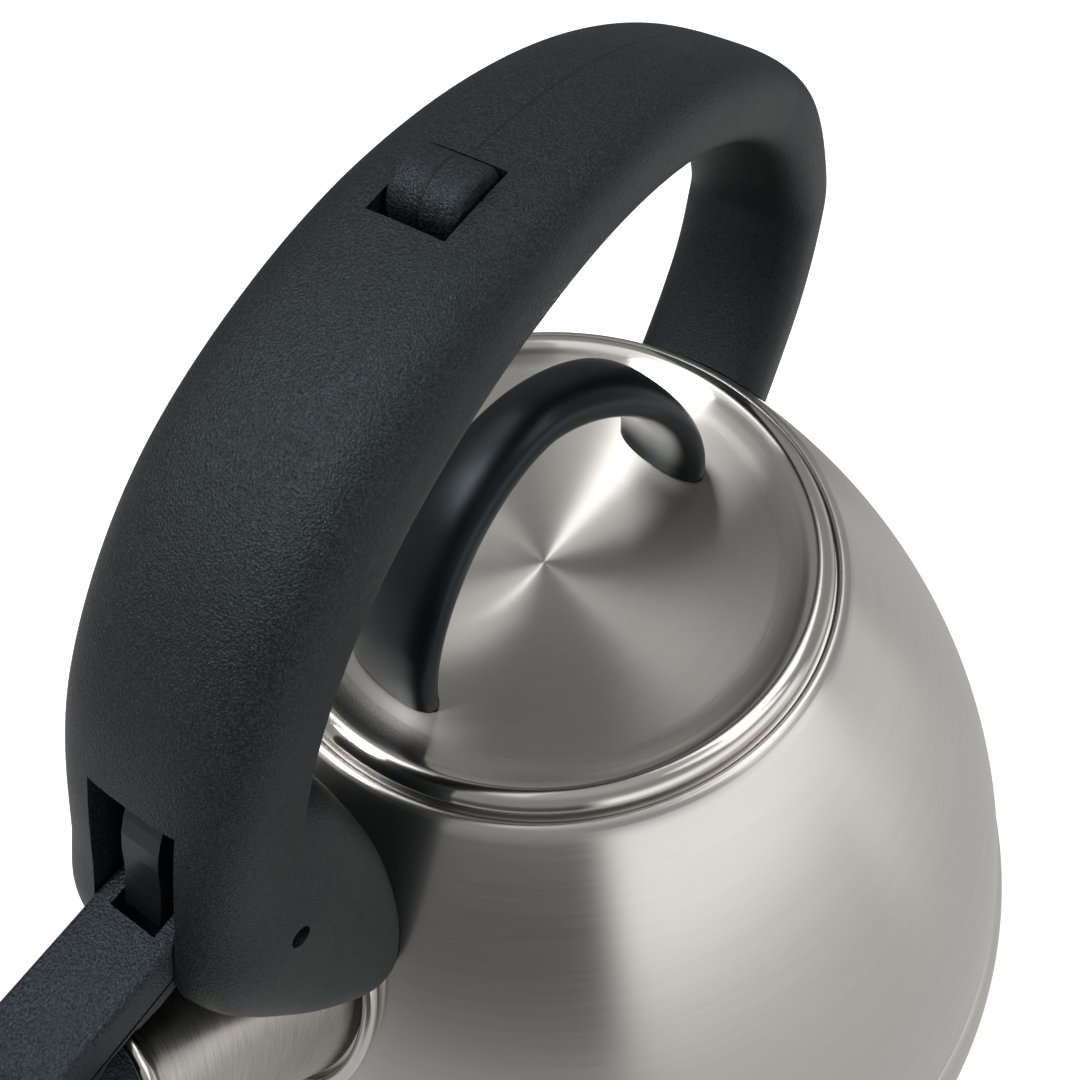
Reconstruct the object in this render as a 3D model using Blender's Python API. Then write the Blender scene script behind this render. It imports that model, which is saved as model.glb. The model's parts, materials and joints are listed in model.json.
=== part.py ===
"""A stovetop whistling kettle, in metres with +Z up.

The origin is the middle of the flat underside. Heights in this script are measured from a
level LIFT above it, and the finished kettle is raised by LIFT at the end. +X runs towards the
spout, and the handle arches over the lid in the XZ plane. A thumb trigger on the handle pulls
a curved rod, which lifts the whistle lever at the spout. The lid lifts straight up out of the
mouth.
"""
import math

import bmesh
import bpy
from mathutils import Matrix, Vector

# ---- Driving dimensions ----
GAP = 0.0003                    # clearance between touching pieces
SHEET = 0.0010                  # sheet metal of the body
LIFT = 0.0220                   # the underside is this far below the level heights are measured from

BODY_RADIUS = 0.1139            # body at the crease above the base
CREASE_HEIGHT = 0.0098
BODY_TAPER = 0.2333             # fall of the radius per height, just above the crease
BODY_CURVE = 2.695              # how much faster it falls higher up, per metre
SHOULDER_HEIGHT = 0.1178        # where the dome turns into the mouth
LEDGE_HEIGHT = 0.1174           # the lid's bead rests on this ledge
COLLAR_RADIUS = 0.0493          # clear mouth
COLLAR_BOTTOM = 0.1120

LOWER_SHELL = (                 # outline of the bulged lower body, from the crease inwards
    (0.1128, 0.0096), (0.1147, 0.0076), (0.1167, 0.0041), (0.1183, -0.0007), (0.1192, -0.0060),
    (0.1189, -0.0110), (0.1170, -0.0145), (0.1138, -0.0165), (0.1080, -0.0170), (0, -0.0170))
SPREADER_RADIUS = 0.0978
BASE_RADIUS = 0.0995
BASE_SHEET = 0.0007

LID_BEAD_RADIUS = 0.0539
LID_CENTRE_HEIGHT = 0.1120
LID_SKIRT_RADIUS = 0.0486
LID_DISH = 0.0066                # how much lower the lid's middle is than its edge
LID_TURN = math.radians(-11)    # the lid lies a little turned in the mouth
STRAP_REACH = 0.0394            # half the length of the lid's strap handle
STRAP_RISE = 0.0410
STRAP_BASE = 0.1175
STRAP_SHIFT = 0.0016            # the strap sits this far forward of the lid's middle
STRAP_SHAPE = 1.13              # 1 is an ellipse, more is leaner at the shoulders
STRAP_FOOT_WIDTH = 0.0105       # half-widths
STRAP_TOP_WIDTH = 0.0060
STRAP_THICKNESS = 0.0072
WASHER_RADIUS = 0.0038

SPOUT_WIDTH = 0.0147            # half-width at the root
MOUTH_WIDTH = 0.0134            # radius of the round mouth
SPOUT_SHEET = 0.0010
ROOT_BEAD = 0.0014              # radius of the bead around the spout's root
SPOUT_TOP_LINE = ((0.0665, 0.0960), (0.0850, 0.1140), (0.1059, 0.1331))
SPOUT_LOW_LINE = ((0.0905, 0.0497), (0.1045, 0.0878), (0.1249, 0.1141))

HANDLE_EXPONENT = 3.1           # squareness of the handle's section
HANDLE_LINE = (                 # outer line of the handle in X and Z, from front to rear
    (0.0972, 0.1336), (0.0935, 0.1483), (0.0811, 0.1750), (0.0610, 0.1950), (0.0344, 0.2064),
    (0.0057, 0.2099), (-0.0227, 0.2059), (-0.0496, 0.1948), (-0.0726, 0.1774),
    (-0.0859, 0.1537), (-0.0869, 0.1395), (-0.0832, 0.1238), (-0.0739, 0.1065), (-0.0640, 0.0930))
HANDLE_WIDTHS = ((0, 0.0165), (0.25, 0.0160), (0.38, 0.0154), (0.52, 0.0140),
                 (0.66, 0.0125), (0.80, 0.0137), (0.92, 0.0148), (1, 0.0155))
HANDLE_DEPTHS = ((0, 0.0184), (0.25, 0.0178), (0.38, 0.0164), (0.52, 0.0150),
                 (0.66, 0.0146), (0.80, 0.0148), (0.92, 0.0165), (1, 0.0185))
HANDLE_WALL = 0.0030            # top wall over the channel
CHANNEL_WIDTH = 0.0065          # half-width of the rod's channel
COVER_THICKNESS = 0.0012
COVER_START = 0.165             # share of the handle's length where the cover begins

ARC_CENTRE = (0.0177, 0.1303)   # the front of the handle is an arc about this point
TRIGGER_PIVOT = (0.0165, 0.2028)
TRIGGER_ARM = 0.0061            # pivot to the rod's top pin
TRIGGER_SLOT = (0.0110, 0.0238)
TRIGGER_SLOT_WIDTH = 0.0057     # half-width
LEVER_PIVOT = (0.0835, 0.1410)
LEVER_LINK = (0.0905, 0.1423)   # the rod's lower pin
LEVER_WIDTH = 0.0070            # half-width
LEVER_TOP = 0.1463
LEVER_BOTTOM = 0.1383
SLOT_WIDTH = 0.0073             # half-width of the lever's slot in the foot
SLOT_TOP = 0.1660
LEVER_ROOM_FLOOR = 0.1265       # floor of the lever's room inside the foot
FRONT_BOSS_X = 0.0815
FRONT_BOSS_TOP = 0.1200
FRONT_BOSS_RADIUS = 0.0040
REAR_TAB_ROOT = (-0.0650, 0.1070)
REAR_TAB_ALONG = (-0.55, 0.835)
REAR_TAB_LENGTH = 0.0125
REAR_TAB_THICKNESS = 0.0016
REAR_TAB_WIDTH = 0.0050         # half-width

CAP_RADIUS = 0.0145
CAP_LENGTH = 0.0125
CAP_WALL = 0.0016

FINE, MEDIUM, COARSE = 48, 40, 12


# ---- Materials ----
def material(name, colour, roughness, metallic=0.0):
    """A Principled BSDF with one colour, roughness and metallic value."""
    made = bpy.data.materials.new(name)
    made.use_nodes = True
    shader = made.node_tree.nodes["Principled BSDF"]
    shader.inputs["Base Color"].default_value = (*colour, 1)
    shader.inputs["Roughness"].default_value = roughness
    shader.inputs["Metallic"].default_value = metallic
    return made


# ---- Building blocks ----
def add_object(name, mesh, finish=None, parent=None, smooth=True):
    """Adds a mesh to the scene, shaded smooth except at sharp edges."""
    obj = bpy.data.objects.new(name, mesh)
    bpy.context.scene.collection.objects.link(obj)
    if finish:
        mesh.materials.append(finish)
    if smooth:
        mesh.shade_smooth()
        mesh.set_sharp_from_angle(angle=math.radians(38))
    hang(obj, parent)
    return obj


def hang(obj, parent):
    """Parents an object whose mesh is in world coordinates to a pivot, which may turn it."""
    if parent:
        obj.parent = parent
        obj.matrix_parent_inverse = Matrix.Translation(-parent.location)


def finish_mesh(name, bm):
    """Turns a bmesh into a mesh whose faces all point outwards."""
    bmesh.ops.recalc_face_normals(bm, faces=bm.faces)
    if bm.calc_volume(signed=True) < 0:
        bmesh.ops.reverse_faces(bm, faces=bm.faces)
    mesh = bpy.data.meshes.new(name)
    bm.to_mesh(mesh)
    bm.free()
    return mesh


def empty(name, location, turn=0.0):
    """A pivot that moving pieces are parented to."""
    pivot = bpy.data.objects.new(name, None)
    pivot.location = location
    pivot.rotation_euler = (0, 0, turn)
    bpy.context.scene.collection.objects.link(pivot)
    return pivot


def turned(name, profile, segments):
    """A solid turned about Z. The profile is a closed outline of (radius, height) points."""
    bm = bmesh.new()
    verts = [bm.verts.new((radius, 0, height)) for radius, height in profile]
    edges = [bm.edges.new((verts[i], verts[i - 1])) for i in range(len(verts))]
    bmesh.ops.spin(bm, geom=verts + edges, cent=(0, 0, 0), axis=(0, 0, 1),
                   angle=math.tau, steps=segments, use_merge=True)
    bmesh.ops.remove_doubles(bm, verts=bm.verts, dist=1e-6)
    bmesh.ops.dissolve_degenerate(bm, edges=bm.edges, dist=1e-7)
    return finish_mesh(name, bm)


def lofted(name, rings):
    """A solid through a row of rings that have the same number of points, with flat ends."""
    bm = bmesh.new()
    rows = [[bm.verts.new(point) for point in ring] for ring in rings]
    count = len(rows[0])
    for low, high in zip(rows, rows[1:]):
        for i in range(count):
            bm.faces.new((low[i - 1], low[i], high[i], high[i - 1]))
    bm.faces.new(rows[0])
    bm.faces.new(reversed(rows[-1]))
    return finish_mesh(name, bm)


def looped(name, rings):
    """A closed ring through a row of sections, the last joined to the first."""
    bm = bmesh.new()
    rows = [[bm.verts.new(point) for point in ring] for ring in rings]
    count = len(rows[0])
    for k, row in enumerate(rows):
        for i in range(count):
            bm.faces.new((rows[k - 1][i - 1], rows[k - 1][i], row[i], row[i - 1]))
    return finish_mesh(name, bm)


def plate(name, outline, half_width, middle=0.0, bevel=0.0):
    """An outline in X and Z, extruded along Y by half_width to each side of the middle."""
    bm = bmesh.new()
    low = [bm.verts.new((x, middle - half_width, z)) for x, z in outline]
    face = bm.faces.new(low)
    grown = bmesh.ops.extrude_face_region(bm, geom=[face])["geom"]
    moved = [item for item in grown if isinstance(item, bmesh.types.BMVert)]
    bmesh.ops.translate(bm, verts=moved, vec=(0, 2 * half_width, 0))
    if bevel:
        sides = {low[0].co.y, moved[0].co.y}
        rim = [e for e in bm.edges if e.verts[0].co.y == e.verts[1].co.y and e.verts[0].co.y in sides]
        bmesh.ops.bevel(bm, geom=rim, offset=bevel, segments=1, affect="EDGES", clamp_overlap=True)
    return finish_mesh(name, bm)


def rod_between(name, start, end, radius, segments=COARSE, end_radius=None):
    """A round bar, or a cone, from start to end."""
    start, end = Vector(start), Vector(end)
    bm = bmesh.new()
    last = radius if end_radius is None else end_radius
    bmesh.ops.create_cone(bm, cap_ends=True, segments=segments, radius1=radius, radius2=last,
                          depth=(end - start).length)
    turn = (end - start).to_track_quat("Z", "Y").to_matrix().to_4x4()
    bm.transform(Matrix.Translation((start + end) / 2) @ turn)
    return finish_mesh(name, bm)


def cutter(name, mesh):
    """A hidden guide for Boolean modifiers."""
    obj = add_object(name, mesh, smooth=False)
    obj.hide_render = True
    obj.display_type = "WIRE"
    return obj


def combine(obj, other, operation="DIFFERENCE"):
    """Cuts the other object from this one, or joins it on."""
    step = obj.modifiers.new(other.name, "BOOLEAN")
    step.operation = operation
    step.solver = "EXACT"
    step.object = other


def screw(name, seat, direction, radius, head_radius, head_height, length, finish, parent=None):
    """A cap screw: its head sits on the seat and its shank runs along the direction."""
    seat, direction = Vector(seat), Vector(direction).normalized()
    turn = direction.to_track_quat("Z", "Y").to_matrix().to_4x4()
    outline = [(0, -head_height), (head_radius * 0.8, -head_height), (head_radius, -head_height * 0.55),
               (head_radius, 0), (radius, 0), (radius, length), (0, length)]
    mesh = turned(name, outline, COARSE)
    mesh.transform(Matrix.Translation(seat) @ turn)
    return add_object(name, mesh, finish, parent)


# ---- Curves and sections ----
def smooth_line(points, samples):
    """Points along a smooth curve through the given points, and the share of its length at each."""
    ends = [tuple(2 * a - b for a, b in zip(points[0], points[1]))]
    tail = [tuple(2 * a - b for a, b in zip(points[-1], points[-2]))]
    knots = ends + list(points) + tail
    dense = []
    for p0, p1, p2, p3 in zip(knots, knots[1:], knots[2:], knots[3:]):
        for step in range(24):
            t = step / 24
            dense.append(tuple(
                0.5 * (2 * b + (c - a) * t + (2 * a - 5 * b + 4 * c - d) * t * t
                       + (3 * b - a - 3 * c + d) * t ** 3)
                for a, b, c, d in zip(p0, p1, p2, p3)))
    dense.append(tuple(points[-1]))
    reach = [0.0]
    for a, b in zip(dense, dense[1:]):
        reach.append(reach[-1] + math.dist(a, b))
    line, index = [], 0
    for k in range(samples + 1):
        goal = reach[-1] * k / samples
        while index < len(reach) - 2 and reach[index + 1] < goal:
            index += 1
        t = (goal - reach[index]) / (reach[index + 1] - reach[index])
        line.append(tuple(a + (b - a) * t for a, b in zip(dense[index], dense[index + 1])))
    return line


def table_value(table, place):
    """Straight-line reading of a short table of (place, value) pairs."""
    for (a, low), (b, high) in zip(table, table[1:]):
        if place <= b:
            return low + (high - low) * (place - a) / (b - a)
    return table[-1][1]


def power(value, exponent):
    return math.copysign(abs(value) ** exponent, value)


def body_radius(height):
    """Outer radius of the body's dome."""
    rise = height - CREASE_HEIGHT
    return BODY_RADIUS - BODY_TAPER * rise - BODY_CURVE * rise * rise


def body_slope(height):
    return BODY_TAPER + 2 * BODY_CURVE * (height - CREASE_HEIGHT)


def dome_points(low, high, steps, offset):
    """Points of the dome between two heights, moved outwards by the offset."""
    points = []
    for k in range(steps + 1):
        height = low + (high - low) * k / steps
        points.append((body_radius(height) + offset * math.hypot(1, body_slope(height)), height))
    return points


HANDLE_SAMPLES = 240
HANDLE_DENSE = smooth_line(HANDLE_LINE, HANDLE_SAMPLES)


def handle_frame(place):
    """Point on the handle's outer line, and the direction into the handle, at a share of its length."""
    index = min(max(int(round(place * HANDLE_SAMPLES)), 1), HANDLE_SAMPLES - 1)
    at = min(max(place * HANDLE_SAMPLES, 0), HANDLE_SAMPLES)
    low = min(int(at), HANDLE_SAMPLES - 1)
    point = [a + (b - a) * (at - low) for a, b in zip(HANDLE_DENSE[low], HANDLE_DENSE[low + 1])]
    before, after = HANDLE_DENSE[index - 1], HANDLE_DENSE[index + 1]
    along = Vector((after[0] - before[0], 0, after[1] - before[1])).normalized()
    return Vector((point[0], 0, point[1])), Vector((along.z, 0, -along.x)) * -1


def handle_section(place, sides):
    """Rounded section of the handle: a superellipse between its outer line and its depth."""
    outer, inward = handle_frame(place)
    width, depth = table_value(HANDLE_WIDTHS, place), table_value(HANDLE_DEPTHS, place)
    ring = []
    for i in range(sides):
        angle = math.tau * (i + 0.5) / sides
        across = width * power(math.cos(angle), 2 / HANDLE_EXPONENT)
        deep = depth / 2 * (1 + power(math.sin(angle), 2 / HANDLE_EXPONENT))
        ring.append(outer + inward * deep + Vector((0, across, 0)))
    return ring


def handle_strip(name, start, end, half_width, shallow, deep, steps):
    """A rectangular strip that follows the handle, between two depths under its outer line."""
    rings = []
    for k in range(steps + 1):
        place = start + (end - start) * k / steps
        outer, inward = handle_frame(place)
        top, bottom = shallow(place), deep(place)
        rings.append([outer + inward * d + Vector((0, y, 0))
                      for d, y in ((top, -half_width), (top, half_width),
                                   (bottom, half_width), (bottom, -half_width))])
    return lofted(name, rings)


def spout_section(place, grow, sides):
    """Oval section of the spout, from the root (0) to the mouth (1). grow is added all round."""

    def bend(line):
        a, b, c = (Vector((x, 0, z)) for x, z in line)
        return a * (1 - place) ** 2 + b * 2 * place * (1 - place) + c * place ** 2

    top, low = bend(SPOUT_TOP_LINE), bend(SPOUT_LOW_LINE)
    up = (top - low).normalized()
    tall = (top - low).length / 2 + grow
    wide = SPOUT_WIDTH + (MOUTH_WIDTH - SPOUT_WIDTH) * place + grow
    return [(top + low) / 2 + up * (tall * math.cos(math.tau * i / sides))
            + Vector((0, wide * math.sin(math.tau * i / sides), 0)) for i in range(sides)]


def spout_axis():
    """Middle of the round mouth and the direction out of it."""
    top, low = Vector((SPOUT_TOP_LINE[2][0], 0, SPOUT_TOP_LINE[2][1])), \
        Vector((SPOUT_LOW_LINE[2][0], 0, SPOUT_LOW_LINE[2][1]))
    up = (top - low).normalized()
    return (top + low) / 2, Vector((up.z, 0, -up.x)), up


def polar(radius, degrees):
    """A point in X and Z about the arc's centre."""
    angle = math.radians(degrees)
    return (ARC_CENTRE[0] + radius * math.cos(angle), ARC_CENTRE[1] + radius * math.sin(angle))


def cross_bar(name, at, radius, half_length, segments=COARSE):
    """A round bar along Y."""
    return rod_between(name, (at[0], -half_length, at[1]), (at[0], half_length, at[1]), radius, segments)


# ---- The body and its base ----
def inset(outline, depth):
    """The outline moved inwards by the depth, in the opposite order, for the inside of a sheet."""
    moved = []
    for k, (radius, height) in enumerate(outline):
        before, after = outline[max(k - 1, 0)], outline[min(k + 1, len(outline) - 1)]
        along = Vector((after[0] - before[0], 0, after[1] - before[1])).normalized()
        moved.append((max(radius + along.z * depth, 0), height - along.x * depth))
    return moved[::-1]


def build_body(steel, aluminium):
    spout_hole = cutter("spout_hole_cutter", lofted("spout_hole", [
        spout_section(k / 10, -SPOUT_SHEET, 24) for k in range(-1, 11)]))
    collar_out = COLLAR_RADIUS + SHEET
    outline = (dome_points(CREASE_HEIGHT + GAP, SHOULDER_HEIGHT, 10, 0)
               + [(0.0562, 0.1186), (0.0550, 0.1187), (0.0544, 0.1182), (0.0541, LEDGE_HEIGHT),
                  (0.0505, LEDGE_HEIGHT), (0.0496, 0.1170), (COLLAR_RADIUS, 0.1162),
                  (COLLAR_RADIUS, COLLAR_BOTTOM), (collar_out, COLLAR_BOTTOM),
                  (collar_out, 0.1160), (0.0510, 0.1164), (0.0545, 0.1164)]
               + dome_points(0.1160, CREASE_HEIGHT + GAP, 8, -SHEET))
    body = add_object("body_shell", turned("body_shell", outline, FINE), steel)
    combine(body, spout_hole)

    lower = list(LOWER_SHELL) + inset(LOWER_SHELL, SHEET)
    add_object("lower_shell", turned("lower_shell", lower, FINE), steel)
    floor, under = LOWER_SHELL[-1][1], -LIFT
    add_object("heat_spreader", turned("heat_spreader", [
        (0, under + BASE_SHEET + GAP), (SPREADER_RADIUS, under + BASE_SHEET + GAP),
        (SPREADER_RADIUS, floor - GAP), (0, floor - GAP)], MEDIUM), aluminium)
    wall = SPREADER_RADIUS + GAP
    add_object("base_cap", turned("base_cap", [
        (0, under), (BASE_RADIUS - 0.0012, under), (BASE_RADIUS, under + 0.0012), (BASE_RADIUS, floor - GAP),
        (wall, floor - GAP), (wall, under + BASE_SHEET), (0, under + BASE_SHEET)], MEDIUM), steel)


def dome_cutter(name, clearance):
    """The body with its mouth filled in, a little larger, for cutting what sits on it."""
    outline = [(0, 0.02)] + dome_points(0.02, 0.1190, 14, clearance) + [(0, 0.1190)]
    return cutter(name, turned(name, outline, FINE))


def build_spout(steel, polished):
    sides = 24
    outer = [spout_section(k / 6, 0, sides) for k in range(6)]
    outer += [spout_section(0.962, 0, sides), spout_section(0.975, 0.0007, sides),
              spout_section(0.99, 0.0008, sides), spout_section(1, 0.0003, sides)]
    tube = add_object("spout_tube", lofted("spout_tube", outer), steel)
    bore = cutter("spout_bore_cutter", lofted("spout_bore", [
        spout_section(k / 6, -SPOUT_SHEET, sides) for k in range(-1, 8)]))
    combine(tube, dome_cutter("spout_root_cutter", GAP))
    combine(tube, bore)
    add_object("spout_root_ring", root_ring("spout_root_ring", ROOT_BEAD), polished)


def root_ring(name, bead):
    """A round bead along the line where the spout meets the dome."""
    sides = 32
    centres = []
    for i in range(sides):
        low, high = 0.0, 0.8
        for _ in range(40):
            middle = (low + high) / 2
            point = spout_section(middle, ROOT_BEAD + 2 * GAP, sides)[i]
            inside = math.hypot(point.x, point.y) < body_radius(point.z)
            low, high = (middle, high) if inside else (low, middle)
        centres.append(point)
    rings = []
    for k, point in enumerate(centres):
        along = (centres[(k + 1) % sides] - centres[k - 1]).normalized()
        radial = Vector((point.x, point.y, 0)).normalized()
        normal = (radial + Vector((0, 0, body_slope(point.z)))).normalized()
        side = along.cross(normal).normalized()
        seat = point + normal * (ROOT_BEAD + GAP)
        rings.append([seat + side * bead * math.cos(math.tau * i / 8)
                      + normal * bead * math.sin(math.tau * i / 8) for i in range(8)])
    return looped(name, rings)


# ---- The lid ----
def lid_surface(radius):
    """Height of the lid's dished disc at a radius."""
    return LID_CENTRE_HEIGHT + LID_DISH * (radius / 0.046) ** 2.4


def arch_point(angle):
    """Outer line of the strap handle, from its front foot (0) over the top to its rear foot (pi)."""
    rise = max(math.sin(angle), 0) ** STRAP_SHAPE
    run = STRAP_REACH * power(math.cos(angle), STRAP_SHAPE)
    return Vector((STRAP_SHIFT + run, 0, STRAP_BASE + STRAP_RISE * rise))


def build_lid(steel, plastic, screw_steel):
    pivot = empty("lid_axis", (0, 0, 0), LID_TURN)
    radii = (0, 0.012, 0.022, 0.031, 0.039, 0.045)
    top = [(r, lid_surface(r)) for r in radii]
    bead = [(0.0478, 0.1198), (0.0494, 0.1211), (0.0513, 0.1216), (0.0529, 0.1210),
            (LID_BEAD_RADIUS, 0.1196), (0.0535, 0.1183), (0.0524, LEDGE_HEIGHT + GAP),
            (0.0512, LEDGE_HEIGHT + GAP), (0.0519, 0.1186), (0.0524, 0.1195), (0.0518, 0.1203),
            (0.0510, 0.1206), (0.0499, 0.1203), (0.0486, 0.1191)]
    under = [(r, lid_surface(r) - SHEET) for r in reversed(radii)]
    disc = add_object("lid_disc", turned("lid_disc", top + bead + under, MEDIUM), steel, pivot)

    skirt = LID_SKIRT_RADIUS
    add_object("lid_skirt", turned("lid_skirt", [
        (skirt - SHEET, 0.1040), (skirt, 0.1040), (skirt, 0.1164), (skirt - 0.0005, 0.1170),
        (skirt - SHEET, 0.1164)], MEDIUM), steel, pivot)

    rings = []
    steps = 22
    for k in range(steps + 1):
        angle = math.pi * k / steps
        ahead = arch_point(math.pi * min(k + 0.5, steps) / steps)
        behind = arch_point(math.pi * max(k - 0.5, 0) / steps)
        along = (ahead - behind).normalized() if 0 < k < steps else Vector((0, 0, 1 if k == 0 else -1))
        inward = Vector((-along.z, 0, along.x))
        width = STRAP_TOP_WIDTH + (STRAP_FOOT_WIDTH - STRAP_TOP_WIDTH) * math.cos(angle) ** 2
        middle = arch_point(angle) + inward * STRAP_THICKNESS / 2
        rings.append([middle + inward * (STRAP_THICKNESS / 2 * power(math.sin(math.tau * i / 14), 0.85))
                      + Vector((0, width * power(math.cos(math.tau * i / 14), 0.85), 0))
                      for i in range(14)])
    first = [point - Vector((0, 0, 0.004)) for point in rings[0]]
    last = [point - Vector((0, 0, 0.004)) for point in rings[-1]]
    strap = add_object("lid_handle", lofted("lid_handle", [first] + rings + [last]), plastic, pivot)
    wide = 0.0485
    seat = [(0, 0.108), (wide, 0.108), (wide, 0.1203)]
    seat += [(r, lid_surface(r) + GAP) for r in (0.046, 0.042, 0.036, 0.028, 0.018, 0)]
    bed = cutter("lid_bed_cutter", turned("lid_bed", seat, 48))
    hang(bed, pivot)
    combine(strap, bed)

    for name, side in (("front", 1), ("rear", -1)):
        x = STRAP_SHIFT + side * (STRAP_REACH - STRAP_THICKNESS / 2)
        washer = lid_surface(abs(x) - WASHER_RADIUS) - SHEET - 2 * GAP
        hole = cutter(f"lid_{name}_hole_cutter", rod_between(
            "lid_hole", (x, 0, 0.106), (x, 0, 0.1245), 0.0018))
        hang(hole, pivot)
        combine(disc, hole)
        combine(strap, hole)
        ring = turned("washer", [(0.0019, -0.0008), (WASHER_RADIUS, -0.0008), (WASHER_RADIUS, 0),
                                 (0.0019, 0)], 16)
        ring.transform(Matrix.Translation((x, 0, washer)))
        add_object(f"lid_{name}_washer", ring, screw_steel, pivot)
        screw(f"lid_{name}_screw", (x, 0, washer - 0.0008 - GAP), (0, 0, 1), 0.0014, 0.0032, 0.0018,
              0.0095, screw_steel, pivot)


# ---- The handle ----
FOOT_LEVELS = (                 # height, rear X, front X, half-width
    (0.0935, 0.0730, 0.0775, 0.0165), (0.0950, 0.0705, 0.0795, 0.0178),
    (0.0985, 0.0685, 0.0830, 0.0184), (0.1040, 0.0662, 0.0868, 0.0185),
    (0.1110, 0.0648, 0.0905, 0.0185), (0.1190, 0.0641, 0.0936, 0.0184),
    (0.1270, 0.0640, 0.0962, 0.0183), (0.1340, 0.0646, 0.0976, 0.0182),
    (0.1400, 0.0654, 0.0968, 0.0180), (0.1460, 0.0662, 0.0945, 0.0172),
    (0.1515, 0.0672, 0.0920, 0.0162), (0.1560, 0.0698, 0.0890, 0.0152),
    (0.1600, 0.0725, 0.0865, 0.0140))


def foot_section(height, rear, front, half_width, sides):
    """Level section of the foot, a rounded rectangle."""
    ring = []
    for i in range(sides):
        angle = math.tau * (i + 0.5) / sides
        x = (rear + front) / 2 + (front - rear) / 2 * power(math.cos(angle), 0.55)
        ring.append(Vector((x, half_width * power(math.sin(angle), 0.55), height)))
    return ring


def build_handle(plastic, steel, screw_steel):
    sides, steps = 18, 36
    shell = add_object("handle_shell", lofted("handle_shell", [
        handle_section(k / steps, sides) for k in range(steps + 1)]), plastic)
    foot = cutter("foot_block", lofted("foot_block", [foot_section(*row, 24) for row in FOOT_LEVELS]))
    combine(shell, foot, "UNION")
    combine(shell, dome_cutter("handle_seat_cutter", 1.5 * GAP))
    combine(shell, cutter("handle_spout_cutter", lofted("handle_spout", [
        spout_section(k / 8, 2 * GAP, 28) for k in range(-1, 9)])))
    combine(shell, cutter("handle_ring_cutter", root_ring("handle_ring", ROOT_BEAD + 3 * GAP)))

    start, end = 0.1, 0.55
    combine(shell, cutter("channel_cutter", handle_strip(
        "channel", start, end, CHANNEL_WIDTH, lambda place: HANDLE_WALL,
        lambda place: table_value(HANDLE_DEPTHS, place) + 0.004, 30)))
    room = [(0.1030, LEVER_ROOM_FLOOR), (0.1030, 0.1640), (0.0866, SLOT_TOP), (0.0800, SLOT_TOP),
            (0.0722, 0.1560), (0.0715, LEVER_ROOM_FLOOR)]
    combine(shell, cutter("slot_cutter", plate("slot", room, SLOT_WIDTH)))
    low, high = TRIGGER_SLOT
    opening = [(low, 0.2020), (high, 0.2020), (high, 0.2140), (low, 0.2140)]
    combine(shell, cutter("trigger_slot_cutter", plate("trigger_slot", opening, TRIGGER_SLOT_WIDTH)))
    combine(shell, cutter("lever_pin_hole", cross_bar("lever_pin_hole", LEVER_PIVOT, 0.0019, 0.03)))
    combine(shell, cutter("trigger_pin_hole", cross_bar(
        "trigger_pin_hole", TRIGGER_PIVOT, 0.0012, 0.0093, 10)))

    add_object("handle_inner_cover", handle_strip(
        "handle_inner_cover", COVER_START, end - 0.002, CHANNEL_WIDTH - GAP,
        lambda place: table_value(HANDLE_DEPTHS, place) - COVER_THICKNESS,
        lambda place: table_value(HANDLE_DEPTHS, place) - 0.0001, 24), plastic)

    add_object("lever_pivot_pin", cross_bar("lever_pivot_pin", LEVER_PIVOT, 0.0015, 0.0140), screw_steel)
    add_object("trigger_pivot_pin", cross_bar(
        "trigger_pivot_pin", TRIGGER_PIVOT, 0.0009, 0.0090), screw_steel)
    build_front_fixing(shell, steel, screw_steel)
    build_rear_fixing(shell, steel, screw_steel)


def build_front_fixing(shell, steel, screw_steel):
    """A threaded boss welded on top of the spout, and the screw that holds the foot down on it."""
    x, top, seat = FRONT_BOSS_X, FRONT_BOSS_TOP, LEVER_ROOM_FLOOR
    boss = add_object("handle_front_boss", rod_between(
        "handle_front_boss", (x, 0, 0.1070), (x, 0, top), FRONT_BOSS_RADIUS, 20), steel)
    combine(boss, cutter("boss_foot_cutter", lofted("boss_foot", [
        spout_section(k / 8, GAP, 28) for k in range(-1, 9)])))
    combine(boss, cutter("boss_bore_cutter", rod_between(
        "boss_bore", (x, 0, top - 0.0050), (x, 0, top + 0.01), 0.0019)))
    combine(shell, cutter("boss_room_cutter", rod_between(
        "boss_room", (x, 0, 0.1000), (x, 0, top + GAP), FRONT_BOSS_RADIUS + GAP, 20)))
    combine(shell, cutter("front_screw_cutter", rod_between(
        "front_screw_hole", (x, 0, top - 0.001), (x, 0, seat + 0.002), 0.0020)))
    screw("handle_front_screw", (x, 0, seat + GAP), (0, 0, -1), 0.0015, 0.0032, 0.0018,
          seat - top + 0.0040, screw_steel)


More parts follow.
